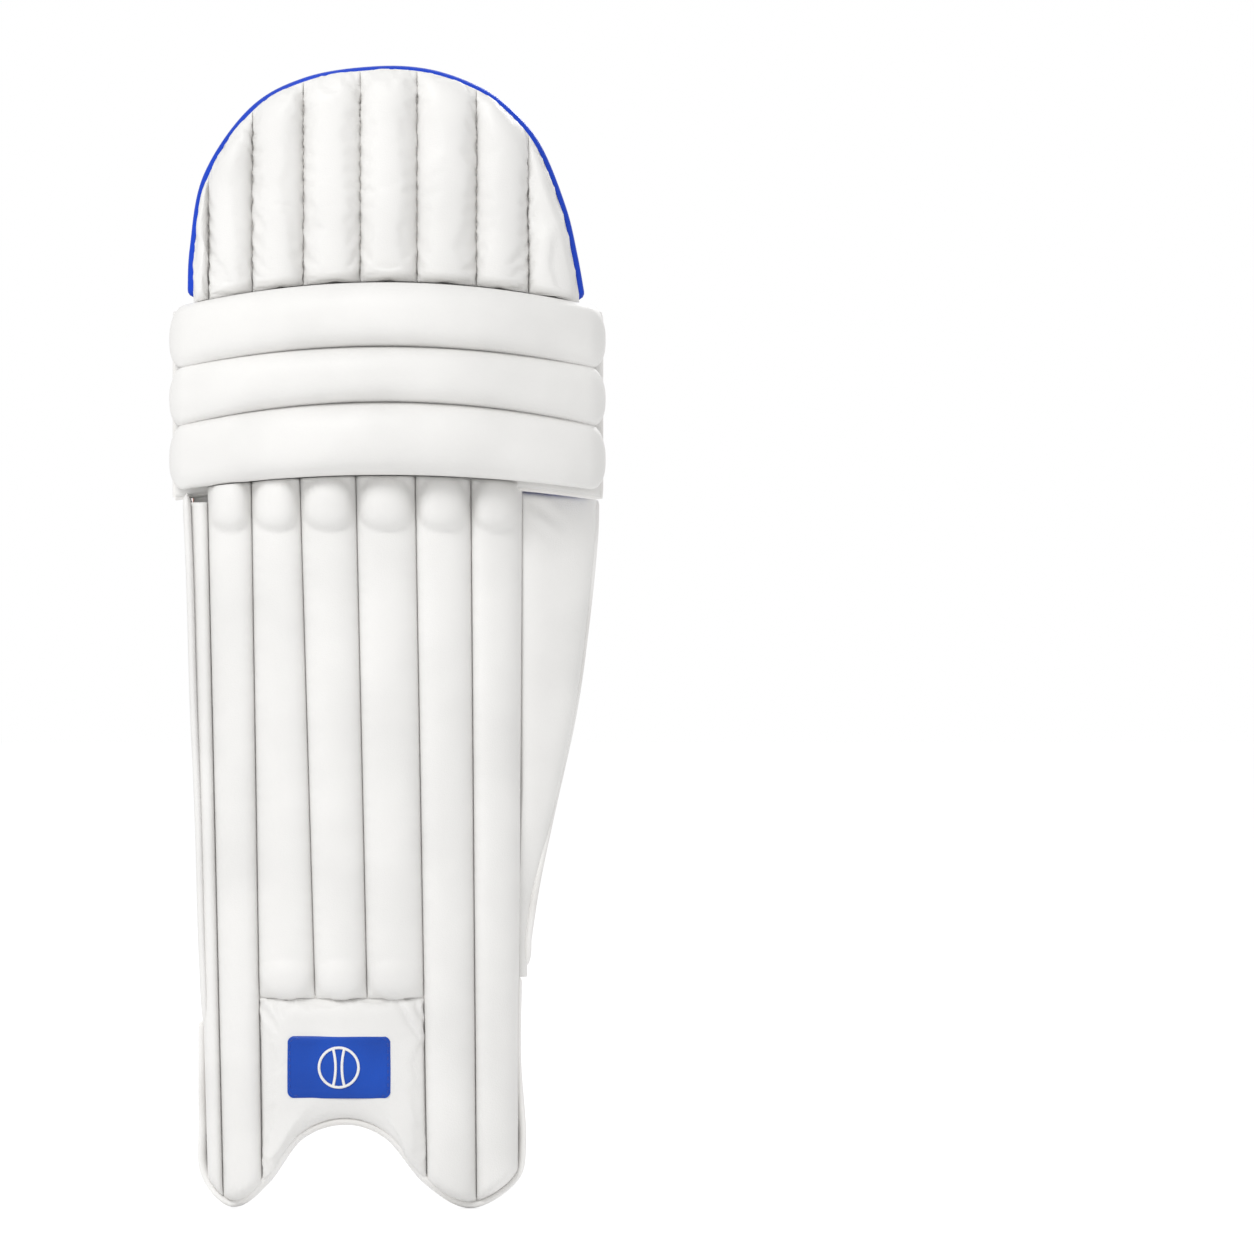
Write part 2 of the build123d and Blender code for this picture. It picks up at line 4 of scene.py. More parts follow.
import bmesh
import bpy
import numpy as np
from bpy.props import FloatProperty, FloatVectorProperty, PointerProperty
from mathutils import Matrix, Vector


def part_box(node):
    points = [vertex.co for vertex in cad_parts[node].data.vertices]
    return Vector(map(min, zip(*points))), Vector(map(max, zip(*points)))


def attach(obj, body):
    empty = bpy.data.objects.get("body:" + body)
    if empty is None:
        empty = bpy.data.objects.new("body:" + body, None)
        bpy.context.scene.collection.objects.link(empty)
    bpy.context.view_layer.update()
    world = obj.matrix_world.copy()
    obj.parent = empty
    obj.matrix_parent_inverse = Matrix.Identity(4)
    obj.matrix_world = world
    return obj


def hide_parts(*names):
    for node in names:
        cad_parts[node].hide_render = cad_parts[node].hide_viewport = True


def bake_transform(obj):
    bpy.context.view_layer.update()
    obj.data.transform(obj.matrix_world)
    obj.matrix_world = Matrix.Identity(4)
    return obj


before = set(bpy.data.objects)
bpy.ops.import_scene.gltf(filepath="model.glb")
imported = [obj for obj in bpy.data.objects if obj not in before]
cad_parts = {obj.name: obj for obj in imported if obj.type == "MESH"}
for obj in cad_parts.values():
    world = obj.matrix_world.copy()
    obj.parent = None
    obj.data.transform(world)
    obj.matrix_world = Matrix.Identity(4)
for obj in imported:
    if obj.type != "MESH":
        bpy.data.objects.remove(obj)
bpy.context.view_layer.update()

bl_info = {
    "name": "Cricket Leg Pad",
    "version": (1, 0, 0),
    "blender": (4, 5, 0),
    "location": "View3D > Sidebar > Leg Pad",
    "description": "Sews the covers, straps and trims of a batting leg pad round its frame",
    "category": "Object",
}

MM = 0.001


# ------------------------------------------------------------------ sizes read from the frame


def low(node):
    """Lowest corner of a node, in millimetres."""
    return np.array(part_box(node)[0]) / MM


def high(node):
    """Highest corner of a node, in millimetres."""
    return np.array(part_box(node)[1]) / MM


def face_of(node):
    """Middle x, middle z, width and height of a node seen from in front, in millimetres."""
    corner, far = low(node), high(node)
    return (corner[0] + far[0]) / 2, (corner[2] + far[2]) / 2, far[0] - corner[0], far[2] - corner[2]


KNEE_MIDDLE = (low("top_knee_roll")[0] + high("top_knee_roll")[0]) / 2
KNEE_HALF = (high("top_knee_roll")[0] - low("top_knee_roll")[0]) / 2
ROLL_FRONT = low("top_knee_roll")[1]
PAD_TOP = high("flap_binding")[2]
LOBE_FOOT = low("lobe_binding")[2]
CUSHION_HEAD = high("shin_bolster_outer")[2]
CUSHION_FOOT = low("shin_bolster_outer")[2]

# How each part of the pad wraps round the leg: middle x, y of the board's back face, radius.
SHIN = (-4.0, -12.0, 220.0)
KNEE = (KNEE_MIDDLE, -14.0, 330.0)
ROLL_RADIUS = 187.0
BOARD = 2.3
SEAM_DEPTH = 9.0
FLAP_SEAM_DEPTH = 8.2

# Heights and gaps of the covers, in millimetres.
KNOB_LEVEL = 79.0
BINDING_GAP = 3.4
SHORT_CHANNELS = (2, 3, 4)
WING_HEAD, WING_FOOT = 91.0, -206.0
KNEE_CUSHION_HEAD, KNEE_CUSHION_FOOT = 208.5, 89.5
FLAP_FOOT = 203.0

ROLL_LEVELS = (216.0, 177.5, 144.0, 100.6)
ROLL_DROOPS = (14.0, 12.5, 14.5, 9.5)
INSTEP_HEAD = -217.0
SEAM_HEAD = 98.0
SEAM_FOOT = -300.0
SEAMS_HEAD = (-107.0, -95.2, -67.7, -37.8, -3.7, 32.3, 65.9, 97.2)
SEAMS_FOOT = (-95.6, -86.0, -61.5, -26.0, 5.0, 39.0, 69.0, 94.5)
FLAP_SEAMS = (-94.0, -67.0, -35.7, -1.0, 33.5, 69.5, 101.0)


def wrap_y(side, depth, x):
    """Y of a wrap at x, at a depth in front of the board's back face."""
    middle, back, radius = side
    return back + radius - np.sqrt((radius + depth) ** 2 - (np.asarray(x) - middle) ** 2)


def run_of(line):
    """Distance along a line at each of its points."""
    return np.concatenate([[0], np.cumsum(np.linalg.norm(np.diff(line, axis=0), axis=1))])


def square_to(line):
    """Unit direction square to a flat line at each point, to the right of its run."""
    tangent = np.gradient(line, axis=0)
    tangent /= np.linalg.norm(tangent, axis=1)[:, None]
    return np.stack([tangent[:, 1], -tangent[:, 0]], axis=1)


def smooth_line(points, count):
    """Points evenly spread along a smooth line through the given ones."""
    points = np.array(points, float)
    ends = np.vstack([2 * points[0] - points[1], points, 2 * points[-1] - points[-2]])
    line = []
    for p0, p1, p2, p3 in zip(ends, ends[1:], ends[2:], ends[3:]):
        for t in np.linspace(0, 1, 24, endpoint=False):
            line.append(
                0.5 * (2 * p1 + (p2 - p0) * t + (2 * p0 - 5 * p1 + 4 * p2 - p3) * t**2
                       + (3 * p1 - p0 - 3 * p2 + p3) * t**3)
            )
    line.append(points[-1])
    line = np.array(line)
    run = run_of(line)
    even = np.linspace(0, run[-1], count)
    return np.stack([np.interp(even, run, line[:, k]) for k in range(line.shape[1])], axis=1)


FLAP_RIM = smooth_line([
    (-107.0, 209.0), (-105.5, 240.0), (-97.0, 284.0), (-69.0, 324.0), (-35.0, 342.5), (7.0, PAD_TOP),
    (41.0, 347.3), (71.0, 337.0), (90.0, 323.5), (108.0, 302.0), (123.0, 265.0), (130.0, 236.0),
    (135.0, 208.0),
], 241)
LOBE_RIM = smooth_line([
    (-99.0, -232.0), (-98.8, -290.0), (-97.5, -326.0), (-79.0, LOBE_FOOT + 0.6), (-58.0, -331.0),
    (-37.0, -304.0), (-11.0, -294.6), (14.0, -303.0), (38.0, -331.0), (65.0, LOBE_FOOT),
    (92.0, -331.0), (97.6, -306.0), (94.6, -255.0), (95.2, -205.0),
], 401)
WING_RIM = smooth_line([
    (140.0, 86.0), (139.0, 60.0), (133.6, 7.0), (126.0, -46.0), (112.0, -110.0), (103.0, -154.0),
    (95.5, WING_FOOT),
], 161)


def rim_height(rim, x):
    """Height of a rim over x, for a rim that crosses each x once between its steep ends."""
    order = np.argsort(rim[:, 0], kind="stable")
    return np.interp(x, rim[order, 0], rim[order, 1])


def seam_x(index, z):
    """X of a shin seam at a height."""
    share = (SEAM_HEAD - z) / (SEAM_HEAD - SEAM_FOOT)
    return SEAMS_HEAD[index] + share * (SEAMS_FOOT[index] - SEAMS_HEAD[index])


def crown(s, power):
    """Height of a stuffed section across its width, s from -1 to 1."""
    return np.clip(1 - np.abs(s) ** power, 0, 1) ** (1 / power)


def ease_in(distance, length):
    """Rounded rise from 0 at an end to 1 after a length."""
    share = np.clip(distance / length, 0, 1)
    return np.sqrt(np.clip(1 - (1 - share) ** 2, 0, 1))


def gathers(s, z, pitch, sway, phase):
    """Small gathers of the cover beside a channel's seams, s from -1 to 1 across it."""
    return 0.35 * np.abs(s) ** 4 * (1 - np.abs(s) ** 14) * np.sin(z / pitch + 2.0 * np.sin(z / sway + phase))


def ripple(a, b, seed):
    """Small soft unevenness over two coordinates in millimetres, from -1 to 1."""
    turns = np.random.default_rng(seed).uniform(0, 2 * np.pi, 6)
    waves = (
        np.sin(a / 9.0 + turns[0]) * np.sin(b / 13.0 + turns[1])
        + 0.7 * np.sin(a / 5.1 - b / 17.0 + turns[2])
        + 0.5 * np.sin(b / 6.3 + a / 21.0 + turns[3]) * np.sin(a / 31.0 + turns[4])
    )
    return waves / 2.2


# ------------------------------------------------------------------ meshes

CLOTH = "Cloth"


def surface_run(points):
    """Distance along both directions of a grid of points: the cloth's own coordinates."""
    across = np.linalg.norm(np.diff(points, axis=1), axis=2)
    along = np.linalg.norm(np.diff(points, axis=0), axis=2)
    u = np.concatenate([np.zeros((points.shape[0], 1)), np.cumsum(across, axis=1)], axis=1)
    v = np.concatenate([np.zeros((1, points.shape[1])), np.cumsum(along, axis=0)], axis=0)
    u -= u.mean(axis=1, keepdims=True)
    return np.stack([u, v], axis=2)


def make_object(name, verts, faces, uv, material):
    """A mesh object at the origin, from points in millimetres."""
    mesh = bpy.data.meshes.new(name)
    mesh.from_pydata((np.asarray(verts) * MM).tolist(), [], faces)
    layer = mesh.uv_layers.new(name=CLOTH)
    corners = np.empty(len(mesh.loops), dtype=np.int32)
    mesh.loops.foreach_get("vertex_index", corners)
    layer.data.foreach_set("uv", (np.asarray(uv)[corners] * MM).ravel())
    build = bmesh.new()
    build.from_mesh(mesh)
    bmesh.ops.remove_doubles(build, verts=build.verts, dist=0.01 * MM)
    bmesh.ops.dissolve_degenerate(build, edges=build.edges, dist=0.005 * MM)
    bmesh.ops.recalc_face_normals(build, faces=build.faces)
    for face in build.faces:
        face.smooth = True
    build.to_mesh(mesh)
    build.free()
    mesh.materials.append(material)
    obj = bpy.data.objects.new(name, mesh)
    bpy.context.scene.collection.objects.link(obj)
    return obj


def two_sided(name, front, back, material):
    """Closed shell between two grids of points, joined round their edges."""
    rows, cols = front.shape[:2]
    verts = np.concatenate([front.reshape(-1, 3), back.reshape(-1, 3)])
    uv = np.concatenate([surface_run(front).reshape(-1, 2), surface_run(back).reshape(-1, 2)])
    count = rows * cols

    def at(i, j):
        return i * cols + j

    faces = []
    for i in range(rows - 1):
        for j in range(cols - 1):
            quad = (at(i, j), at(i, j + 1), at(i + 1, j + 1), at(i + 1, j))
            faces.append(quad)
            faces.append(tuple(k + count for k in reversed(quad)))
    rim = [at(0, j) for j in range(cols)] + [at(i, cols - 1) for i in range(1, rows)]
    rim += [at(rows - 1, j) for j in range(cols - 2, -1, -1)] + [at(i, 0) for i in range(rows - 2, 0, -1)]
    for k, first in enumerate(rim):
        second = rim[(k + 1) % len(rim)]
        faces.append((second, first, first + count, second + count))
    return make_object(name, verts, faces, uv, material)


def tube_of_rings(name, rings, material):
    """Closed tube through rings of points; the first and last rings are closed with a pole."""
    count, around = rings.shape[:2]
    verts = np.concatenate([rings.reshape(-1, 3), [rings[0].mean(axis=0)], [rings[-1].mean(axis=0)]])
    along = run_of(rings.mean(axis=1))
    girth = np.linalg.norm(np.diff(rings[count // 2], axis=0, append=rings[count // 2][:1]), axis=1)
    turn = np.concatenate([[0], np.cumsum(girth)])[:-1]
    uv = np.stack(np.meshgrid(along, turn, indexing="ij"), axis=2).reshape(-1, 2)
    uv = np.concatenate([uv, [[along[0], 0]], [[along[-1], 0]]])
    faces = []
    for i in range(count - 1):
        for j in range(around):
            k = (j + 1) % around
            faces.append((i * around + j, i * around + k, (i + 1) * around + k, (i + 1) * around + j))
    start_pole = count * around
    for j in range(around):
        k = (j + 1) % around
        faces.append((start_pole, k, j))
        last = (count - 1) * around
        faces.append((start_pole + 1, last + j, last + k))
    return make_object(name, verts, faces, uv, material)


def facing_leg(x, z, y):
    """Points from separate x, z and y values, for a line or a grid."""
    return np.stack(np.broadcast_arrays(x, y, z), axis=-1)


def on_wrap(side, x, z, depth):
    """Points at a depth in front of a wrap's board, for a line or a grid."""
    return facing_leg(x, z, wrap_y(side, depth, x))


def spread(count):
    """Values from -1 to 1, closer together near both ends."""
    return np.sin(np.linspace(-np.pi / 2, np.pi / 2, count))


def wrap_depth(side, points):
    """How far points lie in front of a wrap's board, in millimetres."""
    middle, back, radius = side
    return np.hypot(points[:, 0] - middle, back + radius - points[:, 1]) - radius


def press_out(obj, held, cap=1.0, press=3.0):
    """Let a cover settle over its stuffing: a short cloth run under slight pressure, held at its seams."""
    count = len(obj.data.vertices)
    start = np.empty(count * 3)
    obj.data.vertices.foreach_get("co", start)
    start = start.reshape(-1, 3)
    seams = obj.vertex_groups.new(name="Seams")
    seams.add(np.flatnonzero(held(start / MM)).tolist(), 1.0, "REPLACE")
    cloth = obj.modifiers.new("Cloth", "CLOTH")
    cloth.settings.vertex_group_mass = "Seams"
    cloth.settings.use_pressure = True
    cloth.settings.uniform_pressure_force = press
    cloth.settings.effector_weights.gravity = 0.0
    cloth.settings.shrink_min = -0.035
    cloth.settings.mass = 0.3
    cloth.settings.quality = 5
    cloth.settings.tension_stiffness = 20.0
    cloth.settings.compression_stiffness = 20.0
    cloth.settings.bending_stiffness = 0.6
    cloth.point_cache.frame_start = 1
    cloth.point_cache.frame_end = 20
    scene = bpy.context.scene
    for frame_number in range(1, 21):
        scene.frame_set(frame_number)
    bent = obj.evaluated_get(bpy.context.evaluated_depsgraph_get()).to_mesh()
    moved = np.empty(count * 3)
    bent.vertices.foreach_get("co", moved)
    obj.modifiers.remove(cloth)
    scene.frame_set(1)
    move = moved.reshape(-1, 3) - start
    if not np.isfinite(move).all():
        raise RuntimeError(obj.name + " did not settle")
    length = np.linalg.norm(move, axis=1)[:, None]
    move *= cap * MM * np.tanh(length / (cap * MM)) / np.maximum(length, 1e-9)
    obj.data.vertices.foreach_set("co", (start + move).ravel())
    obj.data.update()


def finish_piece(obj, body, nodes=()):
    """Hand a piece to its body and the nodes that it stands for."""
    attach(obj, body)
    if nodes:
        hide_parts(*nodes)
    return obj


# ------------------------------------------------------------------ materials


def linear(text):
    """sRGB hex colour as the linear values that Blender works in."""
    values = [int(text[i:i + 2], 16) / 255 for i in (0, 2, 4)]
    return tuple(v / 12.92 if v <= 0.04045 else ((v + 0.055) / 1.055) ** 2.4 for v in values)


def add_node(tree, kind, links=None, **settings):
    """Add a node, set its properties, and fill its inputs by name or number; nodes and sockets are linked."""
    node = tree.nodes.new(kind)
    for key, value in settings.items():
        setattr(node, key, value)
    for key, value in (links or {}).items():
        if isinstance(value, bpy.types.Node):
            value = value.outputs[0]
        if isinstance(value, bpy.types.NodeSocket):
            tree.links.new(value, node.inputs[key])
        else:
            node.inputs[key].default_value = value
    return node


def surface(name, colour, roughness, **sockets):
    """New material with one Principled shader; returns the material, its tree and the shader."""
    material = bpy.data.materials.new(name)
    material.use_nodes = True
    tree = material.node_tree
    tree.nodes.clear()
    shader = add_node(tree, "ShaderNodeBsdfPrincipled", {"Roughness": roughness})
    shader.inputs["Base Color"].default_value = (*colour, 1.0)
    for key, value in sockets.items():
        shader.inputs[key.replace("_", " ")].default_value = value
    add_node(tree, "ShaderNodeOutputMaterial", {"Surface": shader})
    return material, tree, shader


def two_tone(tree, shader, pattern, dark, light, dark_at=0.0, light_at=1.0):
    """Colour a shader from dark to light over a pattern."""
    ramp = add_node(tree, "ShaderNodeValToRGB", {0: pattern})
    for stop, place, colour in zip(ramp.color_ramp.elements, (dark_at, light_at), (dark, light)):
        stop.position = place
        stop.color = (*colour, 1)
    tree.links.new(ramp.outputs[0], shader.inputs["Base Color"])


def give_relief(tree, shader, height, strength, depth_mm):
    """Raise a shader's surface by a pattern of a real depth."""
    relief = add_node(
        tree, "ShaderNodeBump", {"Height": height, "Strength": strength, "Distance": depth_mm * MM})
    tree.links.new(relief.outputs[0], shader.inputs["Normal"])


def cloth_place(tree):
    """The piece's own cloth coordinates, whole and as separate metres across and along."""
    place = add_node(tree, "ShaderNodeUVMap", uv_map=CLOTH)
    split = add_node(tree, "ShaderNodeSeparateXYZ", {0: place})
    return place, split.outputs[0], split.outputs[1]


def make_leather(name, colour, dark, roughness, grain_mm=0.9, wrinkle=0.25):
    """Polyurethane synthetic leather, cast and embossed: fine pebbled grain, soft even sheen."""
    material, tree, shader = surface(name, colour, roughness, Specular_IOR_Level=0.3)
    maths = partial(add_node, tree, "ShaderNodeMath")
    place = add_node(tree, "ShaderNodeTexCoord").outputs["Object"]
    grain = add_node(tree, "ShaderNodeTexVoronoi", {"Vector": place, "Scale": 1 / (grain_mm * MM)})
    folds = add_node(tree, "ShaderNodeTexNoise", {"Vector": place, "Scale": 1 / (22 * MM), "Detail": 3.0})
    grain_height = maths({0: grain, 1: 0.35}, operation="MULTIPLY")
    fold_height = maths({0: folds, 1: wrinkle * 6}, operation="MULTIPLY")
    give_relief(tree, shader, maths({0: grain_height, 1: fold_height}, operation="ADD"), 0.35, 0.6)
    soil = add_node(tree, "ShaderNodeTexNoise", {"Vector": place, "Scale": 1 / (60 * MM), "Detail": 2.0})
    two_tone(tree, shader, soil, dark, colour, 0.3, 0.62)
    return material


def make_mesh_cloth(name, strand, hole_shade, pitch_mm):
    """Knitted spacer mesh: a blue net with staggered holes, painted dark inside the holes as shade."""
    material, tree, shader = surface(name, strand, 0.8, Specular_IOR_Level=0.12)
    maths = partial(add_node, tree, "ShaderNodeMath")
    place, u, v = cloth_place(tree)
    warp = add_node(tree, "ShaderNodeTexNoise", {"Vector": place, "Scale": 1 / (9 * MM), "Detail": 2.0})
    push = maths({0: maths({0: warp, 1: 0.5}, operation="SUBTRACT"), 1: 0.7}, operation="MULTIPLY")
    pitches = ((u, pitch_mm), (v, 1.45 * pitch_mm))
    across, along = [
        maths({0: maths({0: run, 1: 1 / (pitch * MM)}, operation="MULTIPLY"), 1: push}, operation="ADD")
        for run, pitch in pitches]

    def from_hole(shift):
        squares = []
        for run, stretch in ((across, 1.0), (along, 1.5)):
            part = maths({0: maths({0: run, 1: shift}, operation="ADD")}, operation="FRACT")
            offset = maths({0: part, 1: 0.5}, operation="SUBTRACT")
            square = maths({0: offset, 1: offset}, operation="MULTIPLY")
            squares.append(maths({0: square, 1: stretch}, operation="MULTIPLY"))
        return maths({0: maths({0: squares[0], 1: squares[1]}, operation="ADD")}, operation="SQRT")

    near = maths({0: from_hole(0.0), 1: from_hole(0.5)}, operation="MINIMUM")
    net = add_node(tree, "ShaderNodeMapRange", {0: near, 1: 0.20, 2: 0.36})
    fibre = add_node(tree, "ShaderNodeTexNoise", {"Vector": place, "Scale": 1 / (0.7 * MM), "Detail": 3.0})
    fuzz = maths({0: maths({0: fibre, 1: 0.5}, operation="MULTIPLY"), 1: 0.75}, operation="ADD")
    shade = maths({0: net, 1: fuzz}, operation="MULTIPLY")
    # Painted shade: the holes take the dark navy and the strands the blue.
    two_tone(tree, shader, shade, hole_shade, strand)
    give_relief(tree, shader, shade, 0.9, 0.9)
    return material


def weave_height(tree, u, v, thread_mm):
    """Raised threads of a plain weave."""
    maths = partial(add_node, tree, "ShaderNodeMath")
    turn = 2 * math.pi / (thread_mm * MM)
    warp, weft = [
        maths({0: maths({0: run, 1: turn}, operation="MULTIPLY")}, operation="SINE") for run in (u, v)]
    return maths({0: warp, 1: weft}, operation="MULTIPLY")


def make_webbing(name, stripes, colours, thread_mm):
    """Woven nylon webbing with coloured stripes; the threads show as a fine ribbed weave."""
    material, tree, shader = surface(name, colours[0], 0.7, Specular_IOR_Level=0.15)
    maths = partial(add_node, tree, "ShaderNodeMath")
    place, u, v = cloth_place(tree)
    total = sum(width for width, _ in stripes)
    ramp = add_node(tree, "ShaderNodeValToRGB", {0: maths({0: v, 1: total * MM}, operation="DIVIDE")})
    ramp.color_ramp.interpolation = "CONSTANT"
    stops = ramp.color_ramp.elements
    edge = 0.0
    for count, (width, colour) in enumerate(stripes):
        stop = stops[count] if count < 2 else stops.new(edge / total)
        stop.position = edge / total
        stop.color = (*colours[colour], 1)
        edge += width
    fibre = add_node(tree, "ShaderNodeTexNoise", {"Vector": place, "Scale": 1 / (0.8 * MM), "Detail": 3.0})
    worn = add_node(
        tree, "ShaderNodeMix", {0: 0.22, 6: ramp, 7: fibre}, data_type="RGBA", blend_type="MULTIPLY")
    tree.links.new(worn.outputs[2], shader.inputs["Base Color"])
    height = maths({0: weave_height(tree, u, v, thread_mm), 1: fibre}, operation="ADD")
    give_relief(tree, shader, height, 0.5, 0.25)
    return material


def make_lining(name, colour, dark):
    """Woven polyester lining: smooth close weave with soft puckers, and painted shade that darkens the colour
    in the puckers' hollows.
    """
    material, tree, shader = surface(name, colour, 0.6, Specular_IOR_Level=0.18)
    maths = partial(add_node, tree, "ShaderNodeMath")
    _, u, v = cloth_place(tree)
    whole = add_node(tree, "ShaderNodeTexCoord").outputs["Object"]
    folds = add_node(tree, "ShaderNodeTexNoise", {"Vector": whole, "Scale": 1 / (35 * MM), "Detail": 3.0})
    threads = maths({0: weave_height(tree, u, v, 1.0), 1: 0.1}, operation="MULTIPLY")
    puckers = maths({0: folds, 1: 2.5}, operation="MULTIPLY")
    # Painted shade: the fold noise that shapes the puckers also takes the colour to a darker copy in their low
    # parts.
    two_tone(tree, shader, folds, dark, colour, 0.25, 0.6)
    give_relief(tree, shader, maths({0: threads, 1: puckers}, operation="ADD"), 0.5, 0.8)
    return material


def make_plastic(name, colour, roughness):
    """Injection-moulded acetal: even pale gloss with faint flow marks."""
    material, tree, shader = surface(name, colour, roughness, IOR=1.48)
    place = add_node(tree, "ShaderNodeTexCoord").outputs["Object"]
    flow = add_node(tree, "ShaderNodeTexNoise", {"Vector": place, "Scale": 1 / (4 * MM), "Detail": 2.0})
    give_relief(tree, shader, flow, 0.15, 0.1)
    rough = add_node(tree, "ShaderNodeMapRange", {0: flow, 3: roughness - 0.06, 4: roughness + 0.08})
    tree.links.new(rough.outputs[0], shader.inputs["Roughness"])
    return material


def make_thread(name, colour):
    """Bonded polyester sewing thread: a slight twist and a low sheen."""
    material, tree, shader = surface(name, colour, 0.5, Sheen_Weight=0.2)
    place = add_node(tree, "ShaderNodeTexCoord").outputs["Object"]
    twist = add_node(tree, "ShaderNodeTexWave", {"Vector": place, "Scale": 1 / (2.4 * MM)})
    give_relief(tree, shader, twist.outputs[1], 0.4, 0.1)
    return material


def make_cane(name, colour, dark):
    """Split cane, peeled: long straight fibres and a waxy face."""
    material, tree, shader = surface(name, colour, 0.45)
    place = add_node(tree, "ShaderNodeTexCoord").outputs["Object"]
    stretch = add_node(tree, "ShaderNodeMapping", {0: place, 3: (900.0, 900.0, 25.0)})
    fibre = add_node(tree, "ShaderNodeTexNoise", {"Vector": stretch, "Scale": 1.0, "Detail": 4.0})
    two_tone(tree, shader, fibre, dark, colour)
    give_relief(tree, shader, fibre, 0.3, 0.2)
    return material


def make_hook_tape(name, colour):
    """Moulded hook tape: rows of tiny stubby hooks that catch the light as a fine grid."""
    material, tree, shader = surface(name, colour, 0.6)
    _, u, v = cloth_place(tree)
    give_relief(tree, shader, weave_height(tree, u, v, 1.4), 1.0, 0.6)
    return material


# ------------------------------------------------------------------ sizes and colours in the sidebar


class LegPadSettings(bpy.types.PropertyGroup):
    """Sizes and colours of the covers."""

    channel_rise: FloatProperty(
        name="Channel rise", description="How far a shin channel is stuffed out beyond its seams",
        default=11.0 * MM, unit="LENGTH")
    knob_rise: FloatProperty(
        name="Knob rise", description="How far the rounded head of a shin channel stands out beyond the seams",
        default=17.0 * MM, unit="LENGTH")
    flap_rise: FloatProperty(
        name="Flap rise", description="How far a flap channel is stuffed out beyond its seams",
        default=12.5 * MM, unit="LENGTH")
    stitch_pitch: FloatProperty(
        name="Stitch pitch", description="From one stitch to the next", default=4.0 * MM, unit="LENGTH")
    thread_radius: FloatProperty(
        name="Thread radius", description="Half the sewing thread's thickness",
        default=0.32 * MM, unit="LENGTH")
    white: FloatVectorProperty(
        name="White", description="Synthetic leather of the covers", subtype="COLOR", size=3,
        default=linear("EAE9E7"), min=0, max=1)
    blue: FloatVectorProperty(
        name="Blue", description="Mesh, piping and badges", subtype="COLOR", size=3,
        default=linear("053FC2"), min=0, max=1)
    orange: FloatVectorProperty(
        name="Orange", description="Side linings and webbing stripes", subtype="COLOR", size=3,
        default=linear("FF7600"), min=0, max=1)


def finishes(settings):
    """Every finish of the pad, made once from the sidebar's colours."""
    white, blue, orange = tuple(settings.white), tuple(settings.blue), tuple(settings.orange)
    webbing_blue, pale = linear("0A48B4"), linear("F2F0EC")
    wide = [(5.6, 0), (1.1, 2), (8.8, 1), (1.2, 2), (15.5, 0), (1.2, 2), (8.8, 1), (1.2, 2), (7.6, 0)]
    narrow = [(6.3, 0), (1.1, 2), (6.6, 1), (1.1, 2), (12.4, 0)]
    colours = (webbing_blue, orange, pale)
    makers = {
        "white": lambda n: make_leather(n, white, tuple(0.93 * v for v in white), 0.5),
        "trim": lambda n: make_leather(n, linear("F0EFED"), linear("E2E0DD"), 0.45, 0.7, 0.1),
        "piping": lambda n: make_leather(n, blue, tuple(0.8 * v for v in blue), 0.38, 0.7, 0.1),
        "badge": lambda n: make_leather(n, linear("0C4CB8"), linear("0A3F9E"), 0.35, 0.5, 0.05),
        # The mesh's navy second colour is painted shade inside its holes.
        "mesh": lambda n: make_mesh_cloth(n, blue, linear("00145E"), 3.4),
        # The linings' darker second colours are painted shade for their pucker hollows.
        "lining": lambda n: make_lining(n, orange, tuple(0.82 * v for v in orange)),
        "back": lambda n: make_lining(n, linear("EFEEEC"), linear("DEDCD9")),
        "wide": lambda n: make_webbing(n, wide, colours, 1.3),
        "narrow": lambda n: make_webbing(n, narrow, colours, 1.1),
        "plastic": lambda n: make_plastic(n, linear("E9E7E4"), 0.25),
        "thread": lambda n: make_thread(n, linear("DCD9D4")),
        "blue_thread": lambda n: make_thread(n, linear("0A3A9C")),
        "hook": lambda n: make_hook_tape(n, linear("E4E2DE")),
        "cane": lambda n: make_cane(n, linear("C9A56B"), linear("A37F48")),
    }
    made = {}
    for key, name in FINISH_NAMES.items():
        made[key] = bpy.data.materials.get(name) or makers[key](name)
    return made


FINISH_NAMES = {
    "white": "White PU leather, cast and embossed",
    "trim": "White PU binding, cut and folded",
    "piping": "Blue PU piping, folded over cord",
    "badge": "Blue PU badge, pressed",
    "mesh": "Blue polyester spacer mesh, knitted",
    "lining": "Orange polyester lining, woven",
    "back": "White polyester lining, woven",
    "wide": "Wide striped nylon webbing, woven",
    "narrow": "Narrow striped nylon webbing, woven",
    "plastic": "White acetal, injection moulded",
    "thread": "White polyester thread, bonded",
    "blue_thread": "Blue polyester thread, bonded",
    "hook": "White nylon hook tape, moulded",
    "cane": "Split cane, peeled",
}

# ------------------------------------------------------------------ sewing: geometry nodes

SEWN = []


def sew(body, points, colour="thread"):
    """Note a line of stitches for the sewing step: points in millimetres."""
    SEWN.append((body, colour, np.asarray(points, float)))


def new_tree(name, inputs):
    """Geometry tree with named inputs; returns it with its input and output nodes."""
    tree = bpy.data.node_groups.new(name, "GeometryNodeTree")
    tree.interface.new_socket("Geometry", in_out="INPUT", socket_type="NodeSocketGeometry")
    for label, kind in inputs:
        tree.interface.new_socket(label, in_out="INPUT", socket_type=kind)
    tree.interface.new_socket("Geometry", in_out="OUTPUT", socket_type="NodeSocketGeometry")
    return tree, tree.nodes.new("NodeGroupInput"), tree.nodes.new("NodeGroupOutput")


